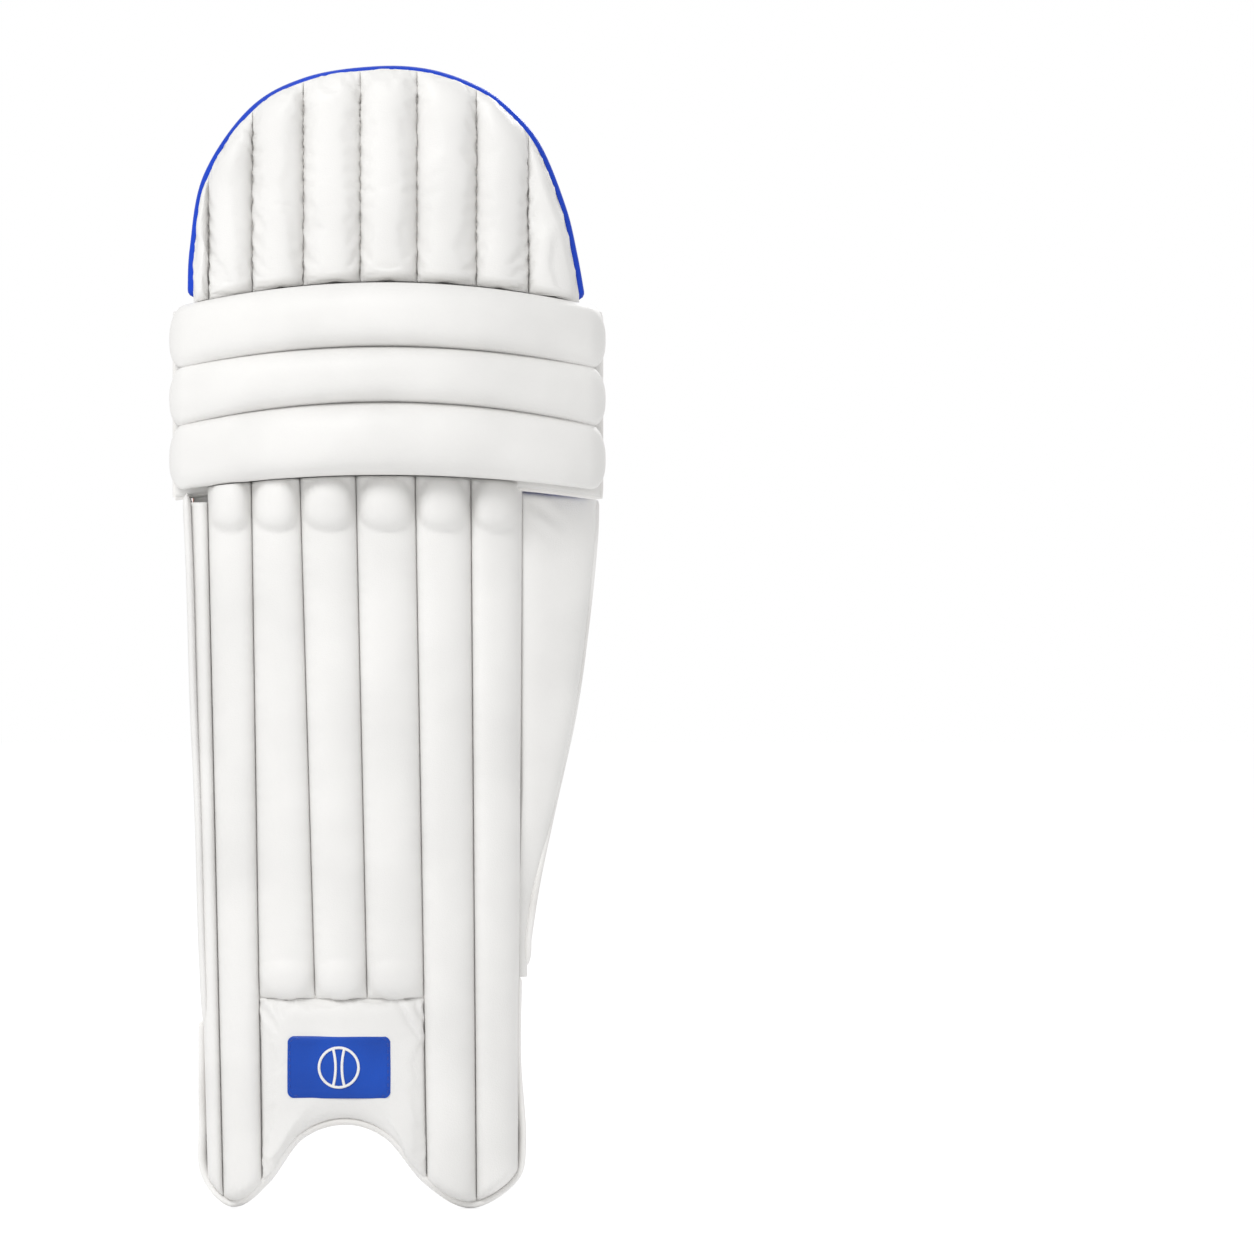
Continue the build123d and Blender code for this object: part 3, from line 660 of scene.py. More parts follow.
def path_tree(name, spacing):
    """Tree whose input lines are made even curves; returns it with its two ends and the curves."""
    tree, start, end = new_tree(name, [
        (spacing, "NodeSocketFloat"), ("Radius", "NodeSocketFloat"), ("Material", "NodeSocketMaterial")])
    line = add_node(tree, "GeometryNodeMeshToCurve", {0: start.outputs["Geometry"]})
    even = add_node(tree, "GeometryNodeResampleCurve", {"Curve": line}, mode="LENGTH")
    tree.links.new(start.outputs[spacing], even.inputs["Length"])
    return tree, start, end, even


def close_tree(tree, start, end, geometry):
    """End a tree: real smooth geometry with its material."""
    smooth = add_node(tree, "GeometryNodeSetShadeSmooth", {0: geometry})
    real = add_node(tree, "GeometryNodeRealizeInstances", {0: smooth})
    dressed = add_node(tree, "GeometryNodeSetMaterial", {0: real, "Material": start.outputs["Material"]})
    tree.links.new(dressed.outputs[0], end.inputs[0])
    return tree


def stitch_tree():
    """Running stitch along lines: one short rounded thread for each pitch, laid along the line."""
    found = bpy.data.node_groups.get("Running stitch")
    if found:
        return found
    tree, start, end, even = path_tree("Running stitch", "Pitch")
    tangent = add_node(tree, "GeometryNodeInputTangent")
    turn = add_node(tree, "FunctionNodeAlignRotationToVector", {"Vector": tangent}, axis="Z")
    half = add_node(tree, "ShaderNodeMath", {0: start.outputs["Pitch"], 1: 0.33}, operation="MULTIPLY")
    radius = start.outputs["Radius"]
    size = add_node(tree, "ShaderNodeCombineXYZ", {0: radius, 1: radius, 2: half})
    ball = add_node(tree, "GeometryNodeMeshUVSphere", {"Segments": 6, "Rings": 5, "Radius": 1.0})
    thread = add_node(tree, "GeometryNodeTransform", {"Geometry": ball, "Scale": size})
    laid = add_node(
        tree, "GeometryNodeInstanceOnPoints", {"Points": even, "Instance": thread, "Rotation": turn})
    return close_tree(tree, start, end, laid)


def piping_tree():
    """Round cord along lines."""
    found = bpy.data.node_groups.get("Piping")
    if found:
        return found
    tree, start, end, even = path_tree("Piping", "Step")
    ring = add_node(
        tree, "GeometryNodeCurvePrimitiveCircle", {"Resolution": 12, "Radius": start.outputs["Radius"]})
    cord = add_node(
        tree, "GeometryNodeCurveToMesh", {"Curve": even, "Profile Curve": ring, "Fill Caps": True})
    return close_tree(tree, start, end, cord)


def grow(name, lines, tree, material, **values):
    """Plain mesh grown by a tree along lines of points in millimetres."""
    verts, edges = [], []
    for line in lines:
        first = len(verts)
        verts.extend((np.asarray(line) * MM).tolist())
        edges.extend((k, k + 1) for k in range(first, len(verts) - 1))
    mesh = bpy.data.meshes.new(name + "_line")
    mesh.from_pydata(verts, edges, [])
    host = bpy.data.objects.new(name + "_line", mesh)
    bpy.context.scene.collection.objects.link(host)
    modifier = host.modifiers.new("Sewing", "NODES")
    modifier.node_group = tree
    values["Material"] = material
    for socket in tree.interface.items_tree:
        if socket.in_out == "INPUT" and socket.name in values:
            modifier[socket.identifier] = values[socket.name]
    bpy.context.view_layer.update()
    done = bpy.data.meshes.new_from_object(host.evaluated_get(bpy.context.evaluated_depsgraph_get()))
    bpy.data.objects.remove(host)
    if not len(done.polygons):
        raise RuntimeError(name + " grew no faces")
    if not done.materials:
        done.materials.append(material)
    obj = bpy.data.objects.new(name, done)
    bpy.context.scene.collection.objects.link(obj)
    return obj


def merge(name, parts, material):
    """One object from several."""
    build = bmesh.new()
    for part in parts:
        build.from_mesh(part.data)
        bpy.data.objects.remove(part)
    mesh = bpy.data.meshes.new(name)
    build.to_mesh(mesh)
    build.free()
    mesh.materials.append(material)
    obj = bpy.data.objects.new(name, mesh)
    bpy.context.scene.collection.objects.link(obj)
    return obj


def rounded_grid(width, height, corner, cols, rows):
    """X and Z offsets of a grid that fills a rectangle with round corners; row 0 is the top."""
    x, z = np.meshgrid(spread(cols) * width / 2, -spread(rows) * height / 2)
    over_x = np.maximum(np.abs(x) - (width / 2 - corner), 0)
    over_z = np.maximum(np.abs(z) - (height / 2 - corner), 0)
    far = np.hypot(over_x, over_z)
    pull = np.where(far > 0, np.maximum(over_x, over_z) / np.maximum(far, 1e-9), 1.0)
    x = np.sign(x) * (np.abs(x) - over_x + over_x * pull)
    z = np.sign(z) * (np.abs(z) - over_z + over_z * pull)
    return x, z


def from_edge(x, z, width, height):
    """Distance inside a rectangle's edge."""
    return np.minimum(width / 2 - np.abs(x), height / 2 - np.abs(z))


def rounded_section(angle, power):
    """How far a rounded section reaches each way at an angle, from -1 to 1."""
    return [np.sign(part) * np.abs(part) ** (2 / power) for part in (np.cos(angle), np.sin(angle))]


def section_rings(centres, sides, ups, half_side, half_up, power, around=28):
    """Rings of a rounded section carried along centres, with its two directions at each."""
    angle = np.linspace(0, 2 * np.pi, around, endpoint=False)
    c, s = rounded_section(angle, power)
    half_side = np.broadcast_to(half_side, (len(centres),))
    half_up = np.broadcast_to(half_up, (len(centres),))
    return (centres[:, None, :] + (half_side[:, None] * c)[:, :, None] * sides[:, None, :]
            + (half_up[:, None] * s)[:, :, None] * ups[:, None, :])


def rim_tube(name, side, rim, hand, inset, width, shallow, deep, material, ends=4.0):
    """Rolled binding along a rim on a wrap, from one depth to another; hand, 1 or -1, is the inward side."""
    inward = square_to(rim) * hand
    line = rim + inward * inset
    x, z = line[:, 0], line[:, 1]
    middle = (shallow + deep) / 2
    centres = on_wrap(side, x, z, middle)
    out = facing_leg(side[0] - x, 0.0, side[2])
    out /= np.linalg.norm(out, axis=1)[:, None]
    across = facing_leg(inward[:, 0], inward[:, 1], 0.0)
    run = run_of(rim)
    close = np.minimum(ease_in(run, ends), ease_in(run[-1] - run, ends))
    close = np.maximum(close, 0.15)
    rings = section_rings(centres, across, out, width / 2 * close, (deep - shallow) / 2 * close, 2.6)
    return tube_of_rings(name, rings, material)


# ------------------------------------------------------------------ shin

LOBE_LOW = LOBE_RIM[LOBE_RIM[:, 1] < -292.0]


def lobe_foot(x):
    """Height of the pad's lower edge over x."""
    order = np.argsort(LOBE_LOW[:, 0], kind="stable")
    return np.interp(x, LOBE_LOW[order, 0], LOBE_LOW[order, 1])


def column_grid(left, right, head, foot, cols, rows):
    """Grid between two seams: s across, and x and z with each column ending at its own foot."""
    s = spread(cols)
    share = (s + 1) / 2
    end = np.full(cols, -250.0)
    for _ in range(4):
        end = foot(left(end) + share * (right(end) - left(end)))
    t = np.linspace(0, 1, rows)[:, None]
    top = np.broadcast_to(head, (cols,))[None, :]
    z = top + t * (end[None, :] - top)
    x = left(z) + share[None, :] * (right(z) - left(z))
    return np.broadcast_to(s, x.shape), x, z, np.broadcast_to(end, x.shape)


def build_shin_channels(settings):
    """Seven upright channels, each with a rounded knob of stuffing at its head."""
    finish = finishes(settings)["white"]
    low_rise, knob_rise = settings.channel_rise / MM, settings.knob_rise / MM
    for index in range(7):
        short = index in SHORT_CHANNELS

        def foot(x, short=short):
            return np.full_like(x, INSTEP_HEAD - 1.5) if short else lobe_foot(x) + BINDING_GAP

        share = (spread(25) + 1) / 2
        under_roll = roll_level(3, seam_x(index, 92.0) * (1 - share) + seam_x(index + 1, 92.0) * share) - 1.0
        head = under_roll if index else 84.0
        s, x, z, end = column_grid(
            lambda h, i=index: seam_x(i, h), lambda h, i=index: seam_x(i + 1, h), head, foot, 25, 190)
        edge = crown(s, 2.3)
        if short:
            rise = low_rise * edge * ease_in(z - end, 15)
            bulb = 1 - np.abs(s / 0.98) ** 2.4 - np.abs((z - (INSTEP_HEAD + 13)) / 15.0) ** 2.4
            rise = np.maximum(rise, 1.2 * low_rise * np.clip(bulb, 0, 1) ** (1 / 2.4))
        else:
            rise = (low_rise - (2.5 if index == 0 else 0.0)) * edge * ease_in(z - end, 9)
        if index:
            reach = np.where(z < KNOB_LEVEL, (KNOB_LEVEL - z) / 14.5, (z - KNOB_LEVEL) / 24.0)
            knob = 1 - np.abs(s / 0.93) ** 2.3 - np.abs(reach) ** 2.4
            neck = 0.9 + 0.1 * np.clip((66.0 - z) / 50.0, 0, 1)
            rise = np.maximum(rise * neck, knob_rise * np.clip(knob, 0, 1) ** (1 / 2.4))
        rise = rise + gathers(s, z, 1.7, 11.0, index) + 0.35 * edge * ripple(x * 0.6, z * 0.35, 11 + index)
        front = on_wrap(SHIN, x, z, SEAM_DEPTH + np.clip(rise, 0, None))
        back = on_wrap(SHIN, x, z, BOARD)
        piece = two_sided(f"shin_channel_{index + 1}_cover", front, back, finish)
        finish_piece(piece, "shin", (f"shin_channel_{index + 1}",))
        if index:
            beside_instep = index in (*SHORT_CHANNELS, 5)
            reach = INSTEP_HEAD if beside_instep else -318.0
            height = np.linspace(62.0 if index > 1 else 74.0, reach, 120)
            line = seam_x(index, height)
            sew("shin", on_wrap(SHIN, line, height, SEAM_DEPTH + 0.9))


def build_instep(settings):
    """Instep panel over the shoe, and the badge sewn to it."""
    made = finishes(settings)

    def foot(x):
        return lobe_foot(x) + BINDING_GAP

    s, x, z, end = column_grid(
        lambda h: seam_x(2, h), lambda h: seam_x(5, h), INSTEP_HEAD, foot, 61, 75)
    near = ease_in(INSTEP_HEAD - z, 13) * ease_in(z - end, 11) * crown(s, 5)
    corner = np.exp(-((np.abs(s) - 0.9) ** 2) / 0.02) * np.exp(-((z - INSTEP_HEAD + 10) ** 2) / 90.0)
    rise = 8.5 * near + 0.9 * corner * np.sin((x + 0.7 * z) / 1.9) + 0.5 * near * ripple(x, z, 5)
    front = on_wrap(SHIN, x, z, SEAM_DEPTH + np.clip(rise, 0, None))
    back = on_wrap(SHIN, x, z, BOARD)
    panel = two_sided("instep_cover", front, back, made["white"])
    press_out(panel, lambda p: wrap_depth(SHIN, p) < SEAM_DEPTH + 1.5)
    finish_piece(panel, "shin", ("instep_panel",))
    middle_x, middle_z, width, height = face_of("front_badge")
    bx, bz = rounded_grid(width, height, 5.0, 41, 27)
    edge = from_edge(bx, bz, width, height)
    lift = 1.5 * ease_in(edge, 1.4) + 0.35 * np.exp(-((edge - 3.2) ** 2) / 0.25)
    front = on_wrap(SHIN, bx + middle_x, bz + middle_z, 17.6 + lift)
    back = on_wrap(SHIN, bx + middle_x, bz + middle_z, 16.6)
    badge = two_sided("front_badge_face", front, back, made["badge"])
    finish_piece(badge, "shin", ("front_badge",))
    ring_x, ring_z = rounded_outline(width - 3.4, height - 3.4, 3.6)
    sew("shin", on_wrap(SHIN, ring_x + middle_x, ring_z + middle_z, 19.2), "blue_thread")
    emblem("front_badge_emblem", "shin", lambda across, up: on_wrap(
        SHIN, across + middle_x, up + middle_z, 19.4), 12.0, made["trim"])


def emblem(name, body, place, radius, material):
    """Plain raised emblem: a ball, drawn as a ring crossed by two curved seams."""
    turn = np.linspace(0, 2 * np.pi, 73)
    v = np.linspace(-0.96, 0.96, 33)
    lines = [place(radius * np.cos(turn), radius * np.sin(turn))]
    for sign in (-1, 1):
        lines.append(place(sign * radius * (0.16 + 0.14 * v * v), radius * v))
    piece = grow(name, lines, piping_tree(), material, Step=1.0 * MM, Radius=0.85 * MM)
    finish_piece(piece, body)


def rounded_outline(width, height, corner):
    """Closed line round a rectangle with round corners."""
    points = []
    for turn, (sx, sz) in enumerate([(1, 1), (-1, 1), (-1, -1), (1, -1)]):
        for angle in np.linspace(0, np.pi / 2, 9) + turn * np.pi / 2:
            points.append((sx * (width / 2 - corner) + corner * np.cos(angle),
                           sz * (height / 2 - corner) + corner * np.sin(angle)))
    points.append(points[0])
    points = np.array(points)
    return points[:, 0], points[:, 1]


def build_lobe_binding(settings):
    """Rolled white edge round the two lobes and the arch."""
    made = finishes(settings)
    roll = rim_tube("lobe_binding_roll", SHIN, LOBE_RIM, -1, 2.2, 4.8, -2.2, 11.6, made["trim"])
    finish_piece(roll, "shin", ("lobe_binding",))
    line = LOBE_RIM - square_to(LOBE_RIM) * 5.2
    for depth in (SEAM_DEPTH + 1.6, -3.6):
        sew("shin", on_wrap(SHIN, line[:, 0], line[:, 1], depth))


def build_shin_back(settings):
    """Quilted white lining, and the padded strip that rests on the shin bone."""
    made = finishes(settings)

    def foot(x):
        return lobe_foot(x) + 2.8

    _, x, z, end = column_grid(
        lambda h: seam_x(0, h) + 2.0, lambda h: seam_x(7, h) - 0.8, 89.0, foot, 141, 150)
    quilt = np.zeros_like(x)
    seams = np.array([-99.0, -77.0, -56.0, -8.5, 40.0, 65.0, 97.0])
    for first, second in zip(seams, seams[1:]):
        place = np.clip((x - first) / (second - first), 0, 1)
        inside = (x >= first) & (x < second)
        quilt = np.where(inside, np.sqrt(np.clip(4 * place * (1 - place), 0, 1)), quilt)
    low_part = np.clip((-236.0 - z) / 20.0, 0, 1)
    puff = 0.6 + 4.2 * quilt * low_part * ease_in(z - end, 10) + 0.4 * low_part * ripple(x, z, 31)
    front = on_wrap(SHIN, x, z, 1.9)
    back = on_wrap(SHIN, x, z, -np.clip(puff, 0.3, None))
    lining = two_sided("shin_back_lining", back, front, made["back"])
    finish_piece(lining, "shin", ("shin_lining", "shin_backing"))
    for seam in seams[1:-1]:
        sew("shin", on_wrap(SHIN, seam, np.linspace(-240.0, lobe_foot(seam) + 9.0, 40), -1.0))

    half = (high("shin_rest_strip")[0] - low("shin_rest_strip")[0]) / 2 + 1.6
    strip_foot, face = low("shin_rest_strip")[2] - 2.0, high("shin_rest_strip")[1]
    s, t = np.meshgrid(spread(41), np.linspace(0, 1, 170))
    foot_line = strip_foot + 9.0 * np.abs(s) ** 3
    x = s * half
    z = 90.0 + t * (foot_line - 90.0)
    base = wrap_y(SHIN, -1.0, x)
    rise = crown(s, 3.4) * ease_in(z - foot_line, 12) * ease_in(93.0 - z, 10)
    y = base + (face + 1.2 - base) * rise + 0.35 * rise * ripple(x, z * 0.4, 41)
    strip = two_sided("shin_rest_cover", facing_leg(x, z, y), facing_leg(x, z, base - 0.6), made["white"])
    finish_piece(strip, "shin", ("shin_rest_strip",))


# ------------------------------------------------------------------ bolsters


def knee_waist(z):
    """How far the knee's rest panel widens at a height, from 0 at its ends to 1 at its middle."""
    return np.clip(1 - ((z - 148.0) / 60.0) ** 2, 0, 1)


def mesh_bolster(name, body, nodes, side, x_near, x_far, z_head, z_foot, y_near, y_far, material):
    """Foam bolster under spacer mesh: near edge towards the leg's middle, flat face, tight rounded edges."""
    s, t = np.meshgrid(spread(45), (spread(90) + 1) / 2)
    share = (s + 1) / 2
    z = z_head(share) + t * (z_foot(share) - z_head(share))
    x = x_near(z) + share * (x_far(z) - x_near(z))
    base = wrap_y(side, -0.7, x)
    face = y_near + share * (y_far - y_near)
    span = np.abs(x_far(z) - x_near(z))
    edge = np.minimum(share, 1 - share) * span
    ends = np.minimum(z_head(share) - z, z - z_foot(share))
    rise = ease_in(edge, 9.0) * ease_in(ends, 9.0)
    sag = 0.7 * (1 - np.abs(s) ** 2) * (1 - np.abs(2 * t - 1) ** 4)
    y = base + (face - base + sag) * rise + 0.5 * rise * ripple(x, z * 0.7, 51 + len(name))
    piece = two_sided(name, facing_leg(x, z, y), facing_leg(x, z, base - 0.4), material)
    return finish_piece(piece, body, nodes)


def build_bolsters(settings):
    """Four mesh-covered bolsters: two beside the shin bone and two behind the knee."""
    mesh = finishes(settings)["mesh"]
    head, foot = CUSHION_HEAD + 4.0, CUSHION_FOOT
    mesh_bolster(
        "shin_bolster_outer_cover", "shin", ("shin_bolster_outer", "shin_bolster_cores"), SHIN,
        lambda z: 31.0 - 3.5 * np.clip((50.0 - z) / 310.0, 0, 1) - 3.0 * np.clip((-232 - z) / 30, 0, 1) ** 2,
        lambda z: 89.5 - 6.0 * np.clip((80.0 - z) / 340.0, 0, 1),
        lambda p: head + 0 * p, lambda p: foot + 10.0 * (1 - p) - 1.0, 18.0, 26.0, mesh)
    mesh_bolster(
        "shin_bolster_inner_cover", "shin", ("shin_bolster_inner",), SHIN,
        lambda z: -30.5 - 3.0 * np.clip((50.0 - z) / 310.0, 0, 1) - 9.0 * np.clip((-236 - z) / 24, 0, 1) ** 2,
        lambda z: -84.0 + 0 * z,
        lambda p: head + 0 * p, lambda p: foot + 7.0 * (1 - p) + 2.0 * p, 18.0, 26.0, mesh)
    mesh_bolster(
        "knee_bolster_outer_cover", "knee", ("knee_bolster_outer",), KNEE,
        lambda z: 41.5 + 22.5 * knee_waist(z),
        lambda z: 142.5 + 0 * z,
        lambda p: KNEE_CUSHION_HEAD - 8.5 * p, lambda p: KNEE_CUSHION_FOOT + 3.5 * p, 16.0, 33.0, mesh)
    mesh_bolster(
        "knee_bolster_inner_cover", "knee", ("knee_bolster_inner",), KNEE,
        lambda z: -7.5 - 21.5 * knee_waist(z),
        lambda z: -111.0 + 0 * z,
        lambda p: KNEE_CUSHION_HEAD - 8.5 * p, lambda p: KNEE_CUSHION_FOOT + 3.5 * p, 16.0, 31.0, mesh)


# ------------------------------------------------------------------ side flange


def build_side_flange(settings):
    """White side wall of the pad, with the orange lining inside it."""
    made = finishes(settings)
    corner_low, corner_high = low("side_flange"), high("side_flange")
    z = np.linspace(corner_high[2] + 9.0, corner_low[2] - 8.0, 120)
    share = (corner_high[2] - z) / (corner_high[2] - corner_low[2])
    outer = corner_low[0] + 11.2 * share
    x = outer + 2.6 + 0.25 * np.sin(z / 23.0)
    middle = (corner_low[1] + corner_high[1]) / 2
    half = (corner_high[1] - corner_low[1]) / 2
    close = np.maximum(np.minimum(ease_in(z[0] - z, 8.0), ease_in(z - z[-1], 26.0)), 0.05)
    centres = np.stack([x, middle - 0.4 * half * (1 - close), z], axis=1)
    sides = np.tile([1.0, 0.0, 0.0], (len(z), 1))
    ups = np.tile([0.0, 1.0, 0.0], (len(z), 1))
    rings = section_rings(centres, sides, ups, 2.6 * close, half * close, 3.2, 36)
    wall = tube_of_rings("side_flange_wall", rings, made["white"])
    finish_piece(wall, "shin", ("side_flange",))
    line = np.linspace(6, len(z) - 16, 60).astype(int)
    sew("shin", facing_leg(x[line] + 2.3, z[line], corner_high[1] - 4.5))

    s, t = np.meshgrid(np.linspace(-1, 1, 17), np.linspace(0, 1, 110))
    zz = 88.0 + t * (low("side_flange_lining")[2] - 4.0 - 88.0)
    left = corner_low[0] + 11.2 * (corner_high[2] - zz) / (corner_high[2] - corner_low[2]) + 4.4
    right = -83.4
    xx = left + (s + 1) / 2 * (right - left)
    sag = 1.4 * (1 - s**2)
    yy = wrap_y(SHIN, -2.6, xx) + 9.0 * ((1 - s) / 2) ** 2 - sag * 0.2 + 0.3 * ripple(xx, zz * 0.5, 61)
    lining = two_sided(
        "side_flange_orange_lining", facing_leg(xx, zz, yy), facing_leg(xx, zz, yy - 1.2), made["lining"])
    finish_piece(lining, "shin", ("side_flange_lining",))


# ------------------------------------------------------------------ knee


def roll_level(index, x):
    """Height of the line between two knee rolls over x."""
    share = (x - KNEE_MIDDLE) / KNEE_HALF
    return ROLL_LEVELS[index] - ROLL_DROOPS[index] * share**2


def build_knee_rolls(settings):
    """Three stuffed rolls across the knee, with rounded ends."""
    finish = finishes(settings)["white"]
    names = ("top_knee_roll", "middle_knee_roll", "bottom_knee_roll")
    for index, name in enumerate(names):
        x = KNEE_MIDDLE + KNEE_HALF * spread(150)
        share = (x - KNEE_MIDDLE) / KNEE_HALF
        top, foot = roll_level(index, x), roll_level(index + 1, x)
        reach = KNEE_HALF - np.abs(x - KNEE_MIDDLE)
        end = ease_in(reach, 10.0)
        front = -ROLL_FRONT - (ROLL_RADIUS - np.sqrt(ROLL_RADIUS**2 - (x - KNEE_MIDDLE) ** 2))
        back = wrap_y(KNEE, 1.0, x)
        middle_y, half_y = (back - front) / 2, (back + front) / 2
        middle_z, half_z = (top + foot) / 2, (top - foot) / 2 + 0.5
        angle = np.linspace(0, 2 * np.pi, 60, endpoint=False)
        c, s = rounded_section(angle, 2.35)
        folds = 1 + 0.018 * (np.abs(share) ** 6)[:, None] * np.sin(9 * angle + 3 * index)[None, :]
        soft = 0.5 * ripple(x[:, None] * 0.5, 60 * np.sin(angle)[None, :] * 0.5, 71 + index)
        grow_y = half_y[:, None] * end[:, None] * folds + soft * end[:, None]
        grow_z = half_z[:, None] * (end[:, None] ** 0.85) * folds
        y = middle_y[:, None] - grow_y * c[None, :]
        z = middle_z[:, None] + grow_z * s[None, :]
        rings = facing_leg(x[:, None], z, y)
        piece = tube_of_rings(name + "_cover", rings, finish)
        nodes = (name, "knee_foam_cores") if index == 0 else (name,)
        finish_piece(piece, "knee", nodes)


def build_knee_back(settings):
    """Knee board with its bound edge, the padded rest panel, and the gusset that joins the shin."""
    made = finishes(settings)
    s, t = np.meshgrid(spread(61), np.linspace(0, 1, 50))
    x = KNEE_MIDDLE + s * (KNEE_HALF - 3.6)
    top, foot = roll_level(0, x) - 3.0, roll_level(3, x) - 4.0
    z = top + t * (foot - top)
    board = two_sided(
        "knee_board_cover", on_wrap(KNEE, x, z, -0.5), on_wrap(KNEE, x, z, 2.0),
        made["white"])
    finish_piece(board, "knee", ("knee_backing",))
    rim = np.concatenate([
        np.stack([x[:, 0], z[:, 0]], axis=1)[::-1], np.stack([x[0], z[0]], axis=1)[1:],
        np.stack([x[:, -1], z[:, -1]], axis=1)[1:], np.stack([x[-1], z[-1]], axis=1)[::-1][1:-1]])
    rim = np.vstack([rim, rim[:1]])
    line = on_wrap(KNEE, rim[:, 0], rim[:, 1], -1.0)
    edge = grow("knee_edge_piping", [line], piping_tree(), made["trim"], Step=4 * MM, Radius=2.1 * MM)
    finish_piece(edge, "knee")

    s, t = np.meshgrid(spread(41), np.linspace(0, 1, 90))
    z = 210.5 + t * (87.5 - 210.5)
    left, right = -9.0 - 21.5 * knee_waist(z), 43.0 + 22.5 * knee_waist(z)
    x = left + (s + 1) / 2 * (right - left)
    base = wrap_y(KNEE, -0.6, x)
    rise = crown(s, 3.0) * ease_in(z - 87.0, 14) * ease_in(211.0 - z, 14)
    y = base + (high("knee_rest_panel")[1] + 1.5 - base) * rise + 0.5 * rise * ripple(x, z * 0.6, 81)
    panel = two_sided("knee_rest_cover", facing_leg(x, z, y), facing_leg(x, z, base - 0.4), made["white"])
    finish_piece(panel, "knee", ("knee_rest_panel",))

    s, t = np.meshgrid(np.linspace(-1, 1, 61), np.linspace(0, 1, 25))
    x = -4.0 + 100.0 * s
    z = 108.0 + t * (78.0 - 108.0)
    mix = np.clip((102.0 - z) / 18.0, 0, 1)
    y = wrap_y(KNEE, -0.6, x) * (1 - mix) + wrap_y(SHIN, -0.4, x) * mix + 0.2 * ripple(x, z, 91)
    gusset = two_sided("knee_gusset", facing_leg(x, z, y), facing_leg(x, z, y - 1.8), made["back"])
    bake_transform(gusset)


# ------------------------------------------------------------------ top flap

BACK_RIM = smooth_line([
    (-103.5, FLAP_FOOT), (-103.7, 250.0), (-99.4, 274.0), (-88.5, 296.0), (-72.0, 316.0), (-53.7, 330.6),
    (-26.0, 340.5), (10.4, 346.0), (43.3, 341.5), (79.9, 321.5), (96.4, 305.0), (112.2, 277.6),
    (119.6, 243.0), (124.0, FLAP_FOOT),
], 241)


def shrunk(rim, amount):
    """A rim that climbs from -X and falls to +X, moved inward."""
    return rim + square_to(rim) * amount


def flap_back_depth(x, z):
    """Depth of the flap's padded back face, negative towards the leg."""
    share = 2 * (x - BACK_RIM[0, 0] - 1.0) / (BACK_RIM[-1, 0] - BACK_RIM[0, 0] - 2.0) - 1
    head = np.maximum(rim_height(BACK_RIM, x), FLAP_FOOT + 1.0)
    rise = ease_in(head - z, 15) * crown(share, 7) * (0.5 + 0.5 * ease_in(z - FLAP_FOOT, 14))
    return -(4.9 + 4.6 * rise + 0.5 * rise * ripple(x * 0.5, z * 0.5, 121))


def build_flap_emblem(made):
    """Plain wicket printed on the flap's back: three stumps under two bails."""
    plates = [(-27.0, -4.0, 11.0, 62.0), (0.0, -4.0, 11.0, 62.0), (27.0, -4.0, 11.0, 62.0)]
    plates += [(-13.5, 34.0, 25.0, 7.0), (13.5, 34.0, 25.0, 7.0)]
    parts = []
    for across, up, width, height in plates:
        x, z = rounded_grid(width, height, 2.5, 19, 45)
        x, z = x + 10.0 + across, z + 268.0 + up
        depth = flap_back_depth(x, z)
        face, back = on_wrap(KNEE, x, z, depth - 0.45), on_wrap(KNEE, x, z, depth + 0.3)
        parts.append(two_sided("plate", face, back, made["lining"]))
    finish_piece(merge("flap_back_emblem", parts, made["lining"]), "top_flap")


